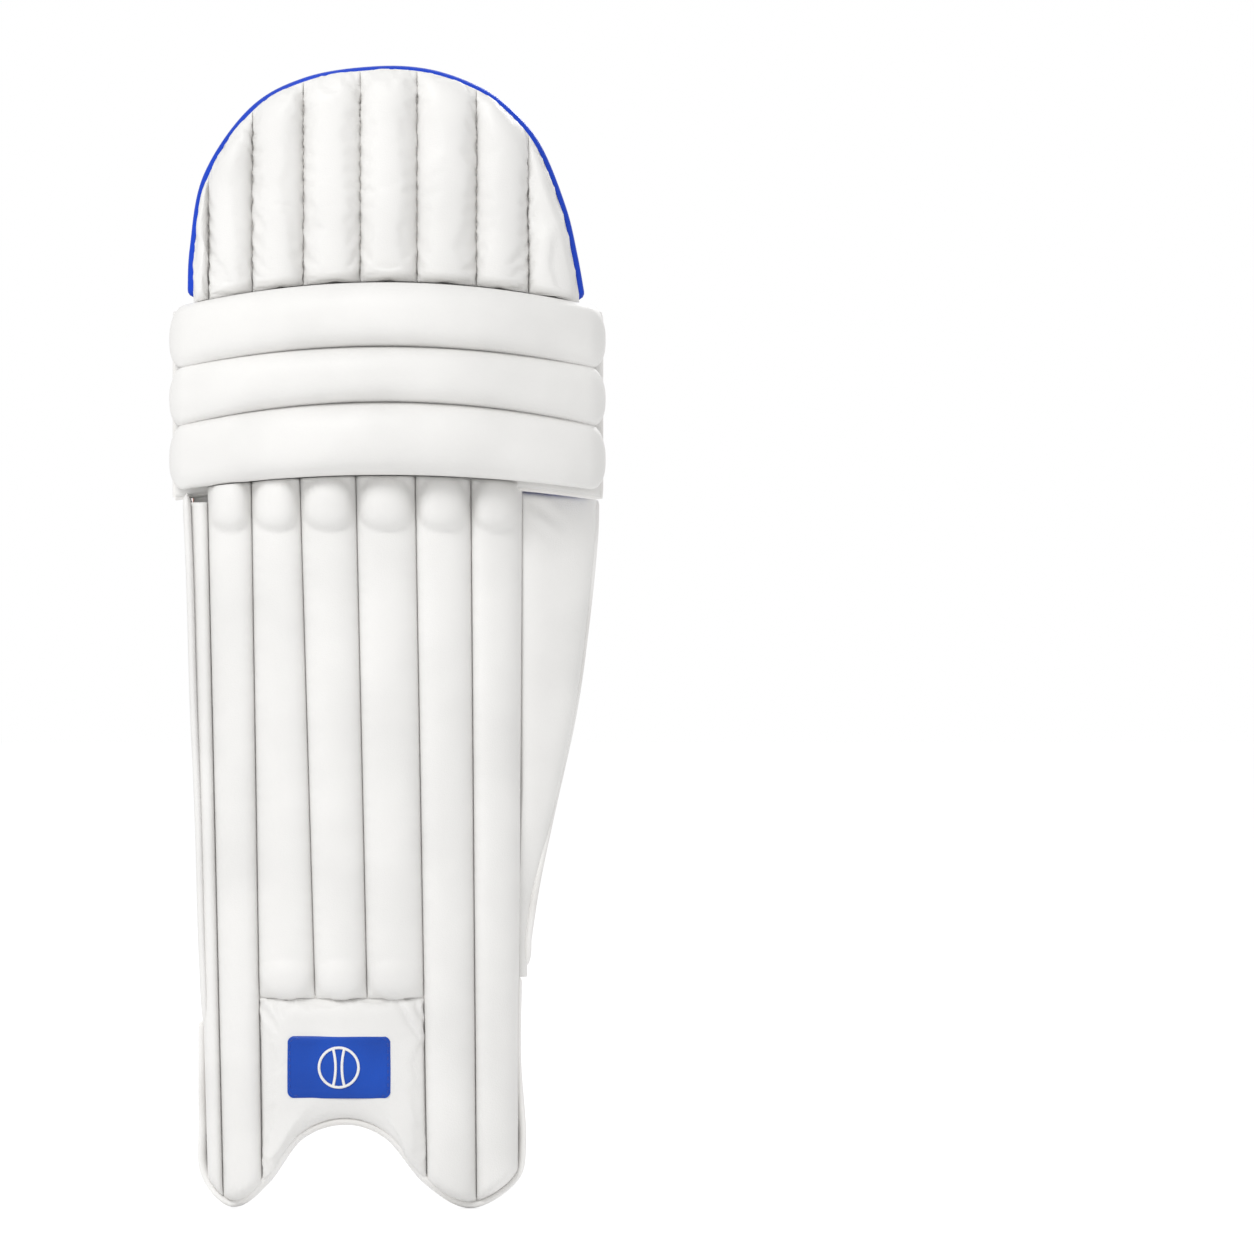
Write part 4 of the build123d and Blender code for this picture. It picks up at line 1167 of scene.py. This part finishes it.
def build_flap(settings):
    """Upright channels of the top flap, its padded back, and the blue piping round its edge."""
    made = finishes(settings)
    rise_full = settings.flap_rise / MM
    rim = shrunk(FLAP_RIM, 2.7)
    edges = [rim[0, 0] + 0.6, *FLAP_SEAMS, rim[-1, 0] - 0.6]
    for index in range(8):
        s, t = np.meshgrid(spread(27), (spread(110) + 1) / 2)
        x = edges[index] + (s + 1) / 2 * (edges[index + 1] - edges[index])
        head = rim_height(rim, x)
        foot = 205.0 + 13.0 * (1 - ((x - KNEE_MIDDLE) / 121.0) ** 2)
        head = np.maximum(head, foot + 1.0)
        z = head + t * (foot - head)
        rise = rise_full * crown(s, 2.15) * ease_in(head - z, 20) ** 1.1 * ease_in(z - foot + 1.0, 8)
        if index in (0, 7):
            rise *= 0.85
        rise = rise + gathers(s, z, 1.9, 13.0, index) * ease_in(head - z, 12)
        rise = rise + 0.5 * crown(s, 2) * ripple(x * 0.6, z * 0.45, 101 + index)
        front = on_wrap(KNEE, x, z, FLAP_SEAM_DEPTH + np.clip(rise, 0, None))
        back = on_wrap(KNEE, x, z, 1.8)
        piece = two_sided(f"flap_channel_{index + 1}_cover", front, back, made["white"])
        press_out(piece, lambda p: wrap_depth(KNEE, p) < FLAP_SEAM_DEPTH + 1.5)
        finish_piece(piece, "top_flap", (f"flap_channel_{index + 1}",))
    for seam in FLAP_SEAMS:
        height = np.linspace(216.0, rim_height(rim, seam) - 9.0, 60)
        sew("top_flap", on_wrap(KNEE, seam, height, FLAP_SEAM_DEPTH + 0.9))

    s, t = np.meshgrid(spread(161), (spread(90) + 1) / 2)
    x = BACK_RIM[0, 0] + 1.0 + (s + 1) / 2 * (BACK_RIM[-1, 0] - BACK_RIM[0, 0] - 2.0)
    head = rim_height(BACK_RIM, x)
    head = np.maximum(head, FLAP_FOOT + 1.0)
    z = head + t * (FLAP_FOOT - head)
    depth = flap_back_depth(x, z)
    panel = two_sided(
        "flap_back_cover", on_wrap(KNEE, x, z, depth), on_wrap(KNEE, x, z, 1.9), made["white"])
    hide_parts("flap_back_panel", "flap_backing")
    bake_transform(panel)

    piping = rim_tube("flap_piping", KNEE, FLAP_RIM, 1, 5.5, 11.2, -4.6, 7.6, made["piping"], ends=5.0)
    finish_piece(piping, "top_flap", ("flap_binding",))
    build_flap_emblem(made)


# ------------------------------------------------------------------ side wing

WING_ROOT = np.array([97.0, 12.0])
WING_RUN = np.array([0.846, 0.533])
WING_OUT = np.array([0.533, -0.846])


def wing_outer(z):
    """X of the wing's free edge at a height."""
    order = np.argsort(WING_RIM[:, 1])
    return np.interp(z, WING_RIM[order, 1], WING_RIM[order, 0])


def wing_point(across, out, z):
    """Point on the wing: along its lined face, out from it, and height."""
    x, y = [WING_ROOT[k] + across * WING_RUN[k] + out * WING_OUT[k] for k in (0, 1)]
    return facing_leg(x, z, y)


def build_wing(settings):
    """Side wing: a soft white pad outside, orange lining inside, a bound free edge."""
    made = finishes(settings)
    s, t = np.meshgrid(spread(51), (spread(150) + 1) / 2)
    z = WING_HEAD + t * (WING_FOOT - WING_HEAD)
    share = (s + 1) / 2
    reach = np.clip((wing_outer(z) - WING_ROOT[0] - 1.0) / WING_RUN[0], 0.6, None)
    across = -5.5 + share * (reach + 5.5)
    full = np.clip(reach / 22.0, 0.25, 1)
    rise = crown(share * 1.85 - 0.85, 2.6) * ease_in(WING_HEAD + 0.5 - z, 6) * full
    near_head = np.exp(-((z - 74.0) ** 2) / 160.0) * np.exp(-(share - 0.25) ** 2 / 0.05)
    folds = near_head * np.sin((z + 0.6 * across) / 2.3)
    out = 3.6 + 10.0 * rise + 0.6 * folds + 0.6 * rise * ripple(across * 0.7, z * 0.4, 131)
    face = two_sided(
        "wing_face_cover", wing_point(across, out, z), wing_point(across, 2.2, z), made["white"])
    finish_piece(face, "side_wing", ("wing_face", "wing_foam"))

    head, foot = WING_HEAD - 3.0, WING_FOOT + 6.0
    z = head + np.linspace(0, 1, 130) * (foot - head)
    reach = np.clip((wing_outer(z) - WING_ROOT[0]) / WING_RUN[0] - 1.6, 0.2, None)
    flat = facing_leg(WING_ROOT[0] + reach * WING_RUN[0] + 1.6, z, WING_ROOT[1] + reach * WING_RUN[1] - 2.6)
    sides = np.tile([WING_RUN[0], WING_RUN[1], 0.0], (len(z), 1))
    ups = np.tile([WING_OUT[0], WING_OUT[1], 0.0], (len(z), 1))
    close = np.maximum(np.minimum(ease_in(head - z, 5), ease_in(z - foot, 12)), 0.08)
    rings = section_rings(flat, sides, ups, 2.7 * close, 5.2 * close, 2.4)
    binding = tube_of_rings("wing_binding_roll", rings, made["trim"])
    finish_piece(binding, "side_wing", ("wing_binding",))
    sew("side_wing", flat[6:-14] + np.array([-4.2, -1.4, 0.0]))

    s, t = np.meshgrid(np.linspace(-1, 1, 41), np.linspace(0, 1, 130))
    z = head + t * (WING_FOOT + 34.0 - head)
    share = (s + 1) / 2
    reach = np.clip((wing_outer(z) - WING_ROOT[0]) / WING_RUN[0] - 3.6, 2.0, None)
    inner_edge = 88.6 - 6.0 * np.clip((80.0 - z) / 340.0, 0, 1)
    start = (inner_edge - WING_ROOT[0]) / WING_RUN[0]
    across = start + share * (reach - start)
    x = WING_ROOT[0] + across * WING_RUN[0]
    y = WING_ROOT[1] + across * WING_RUN[1]
    near_shin = wrap_y(SHIN, -2.4, np.minimum(x, 96.0)) - 1.3 * np.clip(x - 96.0, 0, None)
    y = np.maximum(y, near_shin)
    y = y + 0.4 + 0.5 * ripple(x * 0.8, z * 0.4, 141) * (1 - np.abs(s) ** 6)
    lining = two_sided(
        "wing_orange_lining", facing_leg(x, z, y), facing_leg(x, z, y - 1.6), made["lining"])
    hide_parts("wing_lining")
    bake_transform(lining)


# ------------------------------------------------------------------ straps

BAR_OFFSET = 5.75
LOOP = 3.1
THICK = 1.6
HOLD = 24.0
# Each strap in millimetres: its tilt in degrees, the ring's middle and size, the anchor's end, the webbing's
# width, the cross stitches along it, and the tab that its free end lands on.
STRAPS = {
    "top": {
        "tilt": 0.0, "ring": -88.5, "wide": 20.7, "tall": 38.5, "anchor": (-105.0, 33.4), "body": "knee",
        "width": 27.5, "stitches": (112.0, 124.0, -76.0),
        "tab_owner": "knee", "tab_middle": 120.0, "tab_width": 28.5, "tab": [
            (96.0, 36.6), (120.0, 36.6), (136.0, 36.6), (141.0, 36.2), (144.0, 34.4), (144.6, 31.0)]},
    "middle": {
        "tilt": 2.04, "ring": -69.2, "wide": 26.0, "tall": 64.0, "anchor": (-96.5, 24.9), "body": "shin",
        "width": 50.0, "stitches": (103.0, 109.0, -46.0, -55.0),
        "tab_owner": "side_wing", "tab_middle": 115.0, "tab_width": 50.0, "tab": [
            (93.0, 32.8), (110.0, 32.8), (122.0, 32.8), (128.5, 32.9)]},
    "bottom": {
        "tilt": -4.57, "ring": -65.6, "wide": 24.0, "tall": 64.0, "anchor": (-90.5, 24.9), "body": "shin",
        "width": 50.0, "stitches": (84.0, -51.0),
        "tab_owner": "shin", "tab_middle": 70.0, "tab_width": 50.0, "tab": [
            (46.0, 32.8), (66.0, 32.8), (84.0, 32.8), (89.0, 32.2), (91.0, 29.0), (91.0, 22.0), (91.0, 12.5)]},
}


def strap_facts(name):
    """Sizes of one strap: its own numbers, with its bars, height and end read from the frame."""
    facts = dict(STRAPS[name])
    ring_low, ring_high = low(name + "_ring"), high(name + "_ring")
    facts["bar"] = (ring_low[1] + ring_high[1]) / 2
    tilt = math.radians(facts["tilt"])
    facts["height"] = (ring_low[2] + ring_high[2]) / 2 - facts["ring"] * math.sin(tilt)
    facts["end"] = (high(name + "_strap")[0] - abs(math.sin(tilt)) * facts["width"] / 2) / math.cos(tilt)
    return facts


def lay(facts, plan_x, y, across):
    """Point from a strap's own plan: x along it, y towards the calf, distance up the webbing."""
    tilt = math.radians(facts["tilt"])
    return np.stack([
        plan_x * math.cos(tilt) - across * math.sin(tilt), y + 0 * plan_x,
        facts["height"] + plan_x * math.sin(tilt) + across * math.cos(tilt)], axis=-1)


def loop_path(bar, tail, turn, run_end=None):
    """Middle line of webbing folded round a bar. The tail lies towards turn; it may run on to run_end."""
    px, py = turn * (tail[0] - bar[0]), tail[1] - bar[1]
    low_tail, high_tail = (px, py - 0.85), (px, py + 0.85)
    if run_end is not None:
        low_tail = (px, py - THICK - 0.1)
    reach = math.hypot(*low_tail)
    first = math.atan2(low_tail[1], low_tail[0]) - math.acos(LOOP / reach)
    points = []
    for share in np.linspace(0, 1, 14, endpoint=False):
        points.append((low_tail[0] + share * (LOOP * math.cos(first) - low_tail[0]),
                       low_tail[1] + share * (LOOP * math.sin(first) - low_tail[1])))
    if run_end is None:
        last = math.atan2(high_tail[1], high_tail[0]) + math.acos(LOOP / math.hypot(*high_tail)) - 2 * math.pi
    else:
        last = -1.5 * math.pi
    for angle in np.linspace(first, last, 30):
        points.append((LOOP * math.cos(angle), LOOP * math.sin(angle)))
    if run_end is None:
        for share in np.linspace(0, 1, 15)[1:]:
            points.append((LOOP * math.cos(last) + share * (high_tail[0] - LOOP * math.cos(last)),
                           LOOP * math.sin(last) + share * (high_tail[1] - LOOP * math.sin(last))))
    else:
        length = turn * (run_end - bar[0])
        for share in np.linspace(0, 1, 80)[1:]:
            points.append((share * length, LOOP))
    points = np.array(points)
    return np.stack([bar[0] + turn * points[:, 0], bar[1] + points[:, 1]], axis=1)


def band(name, facts, path, width, thick, material, wave=0.0):
    """Flat band along a plan path, as wide as given, with softly rounded long edges."""
    normal = -square_to(path)
    across = spread(21) * width / 2
    half = thick / 2 * np.sqrt(np.clip(1 - np.abs(across / (width / 2)) ** 14, 0.12, 1))
    grids = []
    for sign in (1, -1):
        px = path[None, :, 0] + sign * half[:, None] * normal[None, :, 0]
        py = path[None, :, 1] + sign * half[:, None] * normal[None, :, 1]
        py = py + wave * ripple(px * 0.5, across[::-1, None] * 0.5 + 0 * px, 151)
        grids.append(lay(facts, px, py, across[::-1, None] + 0 * px))
    return two_sided(name, grids[0], grids[1], material)


def build_straps(settings):
    """Three striped straps, their anchor loops, hook patches and the middle strap's badge."""
    made = finishes(settings)
    for name in STRAPS:
        facts = strap_facts(name)
        webbing = made["narrow"] if name == "top" else made["wide"]
        run = name + "_strap_run"
        run_y = facts["bar"] + LOOP
        outer_bar = (facts["ring"] + BAR_OFFSET, facts["bar"])
        inner_bar = (facts["ring"] - BAR_OFFSET, facts["bar"])
        path = loop_path(outer_bar, (outer_bar[0] + HOLD, run_y), 1, facts["end"])
        strap = band(name + "_strap_webbing", facts, path, facts["width"], THICK, webbing, 0.12)
        finish_piece(strap, run, (name + "_strap",))
        path = loop_path(inner_bar, facts["anchor"], -1)
        anchor = band(name + "_anchor_loop", facts, path, facts["width"], THICK, webbing)
        finish_piece(anchor, facts["body"], (name + "_anchor_webbing",))
        end = facts["end"] - 2.0
        patch_y = run_y - THICK / 2 - 0.8
        path = np.stack([np.linspace(end - 40.0, end, 12), np.full(12, patch_y)], axis=1)
        patch = band(name + "_hook_tape", facts, path, facts["width"] - 4.0, 1.2, made["hook"])
        finish_piece(patch, run, (name + "_hook_patch",))
        lift = run_y + THICK / 2 + 0.15
        for place in facts["stitches"]:
            line = np.linspace(-facts["width"] / 2 + 1.5, facts["width"] / 2 - 1.5, 20)
            sew(run, lay(facts, np.full(20, place), lift, line), "blue_thread")
    facts = strap_facts("middle")
    middle, _, full_width, _ = face_of("middle_strap_badge")
    width, height = full_width - 1.8, facts["width"] - 1.0
    face = facts["bar"] + LOOP + THICK / 2
    bx, bz = rounded_grid(width, height, 3.0, 41, 33)
    edge = from_edge(bx, bz, width, height)
    lift = face + 1.3 * ease_in(edge, 1.3) + 0.4 * np.exp(-((edge - 4.0) ** 2) / 0.3)
    front = lay(facts, bx + middle, lift, bz)
    back = lay(facts, bx + middle, face - 0.2, bz)
    badge = two_sided("middle_strap_badge_face", front, back, made["badge"])
    finish_piece(badge, "middle_strap_run", ("middle_strap_badge",))
    ring_x, ring_z = rounded_outline(width - 3.6, height - 3.6, 2.4)
    sew("middle_strap_run", lay(facts, ring_x + middle, face + 1.45, ring_z))
    emblem("strap_badge_emblem", "middle_strap_run", lambda across, up: lay(
        facts, across + middle, face + 1.5, up), 14.0, made["trim"])


def build_tabs(settings):
    """White tabs: three that the straps' free ends land on, and two under the anchor loops."""
    made = finishes(settings)
    for name in STRAPS:
        facts = strap_facts(name)
        owner, width = facts["tab_owner"], facts["tab_width"]
        raised = facts["tab_middle"] * math.sin(math.radians(facts["tilt"]))
        level = dict(facts, tilt=0.0, height=facts["height"] + raised)
        path = smooth_line(facts["tab"], 60)
        tab = band(name + "_landing_tab_patch", level, path, width, 1.7, made["trim"])
        finish_piece(tab, owner, (name + "_landing_tab",))
        for edge in (-1, 1):
            sew(owner, lay(level, path[:, 0], path[:, 1] + 1.0, np.full(len(path), edge * (width / 2 - 2.2))))
        cross = np.linspace(-width / 2 + 2.2, width / 2 - 2.2, 16)
        seat = path[20 if name == "bottom" else 54]
        sew(owner, lay(level, np.full(16, seat[0]), seat[1] + 1.0, cross))
    for name in ("middle", "bottom"):
        middle_x, middle_z, width, height = face_of(name + "_anchor_tab")
        width += 1.5
        bx, bz = rounded_grid(width, height, 3.0, 17, 41)
        x, z = bx + middle_x, bz + middle_z
        seat = low(name + "_anchor_tab")[1]
        face = facing_leg(x, z, seat + 0.7 + 1.0 * ease_in(from_edge(bx, bz, width, height), 1.2))
        tab = two_sided(name + "_anchor_patch", face, facing_leg(x, z, seat), made["trim"])
        finish_piece(tab, "shin", (name + "_anchor_tab",))


def build_rings(settings):
    """Three moulded rings: two bars between rounded ends. The cane rods get their own finish."""
    made = finishes(settings)
    for name in STRAPS:
        facts = strap_facts(name)
        tilt = math.radians(facts["tilt"])
        along, upward = (math.cos(tilt), 0.0, math.sin(tilt)), (-math.sin(tilt), 0.0, math.cos(tilt))
        parts = []
        for sign in (-1, 1):
            up = np.linspace(-facts["tall"] / 2 + 1.0, facts["tall"] / 2 - 1.0, 12)
            centre = lay(facts, np.full(12, facts["ring"] + sign * BAR_OFFSET), facts["bar"], up)
            sides, ups = np.tile(along, (12, 1)), np.tile([0.0, 1.0, 0.0], (12, 1))
            rings = section_rings(centre, sides, ups, 2.0, 2.0, 2.0, 24)
            parts.append(tube_of_rings("bar", rings, made["plastic"]))
            run = spread(40) * facts["wide"] / 2
            close = np.maximum(ease_in(facts["wide"] / 2 - np.abs(run), 2.6), 0.05)
            level = sign * (facts["tall"] / 2 - 2.65)
            centre = lay(facts, facts["ring"] + run, facts["bar"], np.full(40, level))
            sides, ups = np.tile(upward, (40, 1)), np.tile([0.0, 1.0, 0.0], (40, 1))
            rings = section_rings(centre, sides, ups, 2.65 * close, 2.0 * close, 2.8, 28)
            parts.append(tube_of_rings("end", rings, made["plastic"]))
        ring = merge(name + "_ring_moulding", parts, made["plastic"])
        finish_piece(ring, name + "_ring_link", (name + "_ring",))
    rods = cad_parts["cane_rods"]
    rods.data.materials.clear()
    rods.data.materials.append(made["cane"])


def build_sewing(settings):
    """Every noted line of stitches, as one piece for each body and thread."""
    made = finishes(settings)
    groups = {}
    for body, colour, line in SEWN:
        groups.setdefault((body, colour), []).append(line)
    for (body, colour), lines in groups.items():
        piece = grow(
            f"{body}_{colour}_stitches", lines, stitch_tree(), made[colour],
            Pitch=settings.stitch_pitch, Radius=settings.thread_radius)
        finish_piece(piece, body)


# ------------------------------------------------------------------ stage


def build_stage(settings):
    """White floor, soft white surroundings, two large soft lights and the camera."""
    scene = bpy.context.scene
    mesh = bpy.data.meshes.new("floor")
    z = LOBE_FOOT * MM - 0.0005
    mesh.from_pydata([(-12, -8, z), (12, -8, z), (12, 16, z), (-12, 16, z)], [], [(0, 1, 2, 3)])
    floor = bpy.data.objects.new("floor", mesh)
    scene.collection.objects.link(floor)
    material, tree, shader = surface("White paper sweep, matt", (0.92, 0.92, 0.92), 0.9)
    mesh.materials.append(material)
    seen = add_node(tree, "ShaderNodeLightPath")
    share = add_node(tree, "ShaderNodeMath", {0: seen.outputs["Is Camera Ray"], 1: 0.75}, operation="MULTIPLY")
    bright = add_node(tree, "ShaderNodeEmission", {"Strength": 1.13})
    mixed = add_node(tree, "ShaderNodeMixShader", {0: share, 1: shader, 2: bright})
    add_node(tree, "ShaderNodeOutputMaterial", {"Surface": mixed}).is_active_output = True

    world = bpy.data.worlds.new("Soft white studio")
    scene.world = world
    world.use_nodes = True
    tree = world.node_tree
    tree.nodes.clear()
    path = add_node(tree, "ShaderNodeLightPath")
    seen = path.outputs["Is Camera Ray"]
    for kind in ("Is Glossy Ray", "Is Transmission Ray"):
        seen = add_node(tree, "ShaderNodeMath", {0: seen, 1: path.outputs[kind]}, operation="MAXIMUM")
    light = add_node(tree, "ShaderNodeBackground", {"Color": (1, 1, 1, 1), "Strength": 0.67})
    white = add_node(tree, "ShaderNodeBackground", {"Color": (1, 1, 1, 1), "Strength": 1.0})
    mix = add_node(tree, "ShaderNodeMixShader", {0: seen, 1: light, 2: white})
    add_node(tree, "ShaderNodeOutputWorld", {"Surface": mix})

    for name, place, size, power in (
        ("key_light", (-1.2, -2.4, 2.2), 1.2, 52.0), ("back_light", (1.4, 2.6, 2.0), 1.2, 52.0),
    ):
        lamp = bpy.data.lights.new(name, "AREA")
        lamp.size = size
        lamp.energy = power
        obj = bpy.data.objects.new(name, lamp)
        obj.location = place
        obj.rotation_euler = (Vector((0, 0, 0)) - Vector(place)).to_track_quat("-Z", "Y").to_euler()
        scene.collection.objects.link(obj)

    camera = bpy.data.objects.new("camera", bpy.data.cameras.new("camera"))
    camera.data.lens = 188.0
    camera.data.sensor_width = 36.0
    camera.location = (0.161, -4.0, 0.008)
    camera.rotation_euler = (math.pi / 2, 0, 0)
    scene.collection.objects.link(camera)
    scene.camera = camera
    scene.view_settings.view_transform = "Standard"


# ------------------------------------------------------------------ operators and panel


def run_step(step, context):
    """Build one group of pieces from the scene's settings."""
    step(context.scene.leg_pad)
    return {"FINISHED"}


class LEGPAD_OT_shin_channels(bpy.types.Operator):
    """Stuff the seven shin channels"""

    bl_idname = "legpad.shin_channels"
    bl_label = "Shin channels"

    def execute(self, context):
        return run_step(build_shin_channels, context)


class LEGPAD_OT_instep(bpy.types.Operator):
    """Sew the instep panel and its badge"""

    bl_idname = "legpad.instep"
    bl_label = "Instep panel"

    def execute(self, context):
        return run_step(build_instep, context)


class LEGPAD_OT_lobe_binding(bpy.types.Operator):
    """Bind the edge of the lobes"""

    bl_idname = "legpad.lobe_binding"
    bl_label = "Lobe binding"

    def execute(self, context):
        return run_step(build_lobe_binding, context)


class LEGPAD_OT_shin_back(bpy.types.Operator):
    """Line the shin's back and add the rest strip"""

    bl_idname = "legpad.shin_back"
    bl_label = "Shin back"

    def execute(self, context):
        return run_step(build_shin_back, context)


class LEGPAD_OT_bolsters(bpy.types.Operator):
    """Cover the four foam bolsters in mesh"""

    bl_idname = "legpad.bolsters"
    bl_label = "Mesh bolsters"

    def execute(self, context):
        return run_step(build_bolsters, context)


class LEGPAD_OT_side_flange(bpy.types.Operator):
    """Add the side wall and its lining"""

    bl_idname = "legpad.side_flange"
    bl_label = "Side flange"

    def execute(self, context):
        return run_step(build_side_flange, context)


class LEGPAD_OT_knee_rolls(bpy.types.Operator):
    """Stuff the three knee rolls"""

    bl_idname = "legpad.knee_rolls"
    bl_label = "Knee rolls"

    def execute(self, context):
        return run_step(build_knee_rolls, context)


class LEGPAD_OT_knee_back(bpy.types.Operator):
    """Finish the knee's back and its gusset"""

    bl_idname = "legpad.knee_back"
    bl_label = "Knee back"

    def execute(self, context):
        return run_step(build_knee_back, context)


class LEGPAD_OT_flap(bpy.types.Operator):
    """Build the top flap's channels, back and piping"""

    bl_idname = "legpad.flap"
    bl_label = "Top flap"

    def execute(self, context):
        return run_step(build_flap, context)


class LEGPAD_OT_wing(bpy.types.Operator):
    """Build the side wing"""

    bl_idname = "legpad.wing"
    bl_label = "Side wing"

    def execute(self, context):
        return run_step(build_wing, context)


class LEGPAD_OT_straps(bpy.types.Operator):
    """Thread the three straps"""

    bl_idname = "legpad.straps"
    bl_label = "Straps"

    def execute(self, context):
        return run_step(build_straps, context)


class LEGPAD_OT_tabs(bpy.types.Operator):
    """Sew on the white tabs"""

    bl_idname = "legpad.tabs"
    bl_label = "Tabs"

    def execute(self, context):
        return run_step(build_tabs, context)


class LEGPAD_OT_rings(bpy.types.Operator):
    """Mould the three strap rings"""

    bl_idname = "legpad.rings"
    bl_label = "Rings"

    def execute(self, context):
        return run_step(build_rings, context)


class LEGPAD_OT_sewing(bpy.types.Operator):
    """Sew every noted line of stitches"""

    bl_idname = "legpad.sewing"
    bl_label = "Stitches"

    def execute(self, context):
        return run_step(build_sewing, context)


class LEGPAD_OT_stage(bpy.types.Operator):
    """Set the floor, lights and camera"""

    bl_idname = "legpad.stage"
    bl_label = "Stage"

    def execute(self, context):
        return run_step(build_stage, context)


STEPS = (
    LEGPAD_OT_shin_channels, LEGPAD_OT_instep, LEGPAD_OT_lobe_binding, LEGPAD_OT_shin_back,
    LEGPAD_OT_bolsters, LEGPAD_OT_side_flange, LEGPAD_OT_knee_rolls, LEGPAD_OT_knee_back,
    LEGPAD_OT_flap, LEGPAD_OT_wing, LEGPAD_OT_straps, LEGPAD_OT_tabs, LEGPAD_OT_rings,
    LEGPAD_OT_sewing, LEGPAD_OT_stage,
)


class LEGPAD_PT_panel(bpy.types.Panel):
    """Lists the pad's building steps and settings"""

    bl_idname = "LEGPAD_PT_panel"
    bl_label = "Cricket Leg Pad"
    bl_space_type = "VIEW_3D"
    bl_region_type = "UI"
    bl_category = "Leg Pad"

    def draw(self, context):
        for key in LegPadSettings.__annotations__:
            self.layout.prop(context.scene.leg_pad, key)
        for step in STEPS:
            self.layout.operator(step.bl_idname)


CLASSES = (LegPadSettings, *STEPS, LEGPAD_PT_panel)


def register():
    """Add the settings, steps and panel."""
    for cls in CLASSES:
        bpy.utils.register_class(cls)
    bpy.types.Scene.leg_pad = PointerProperty(type=LegPadSettings)


def unregister():
    """Take them away again."""
    del bpy.types.Scene.leg_pad
    for cls in reversed(CLASSES):
        bpy.utils.unregister_class(cls)


def main():
    """Build the whole pad."""
    register()
    for step in STEPS:
        group, name = step.bl_idname.split(".")
        if getattr(getattr(bpy.ops, group), name)() != {"FINISHED"}:
            raise RuntimeError(step.bl_label + " was not finished")


if __name__ == "__main__":
    main()
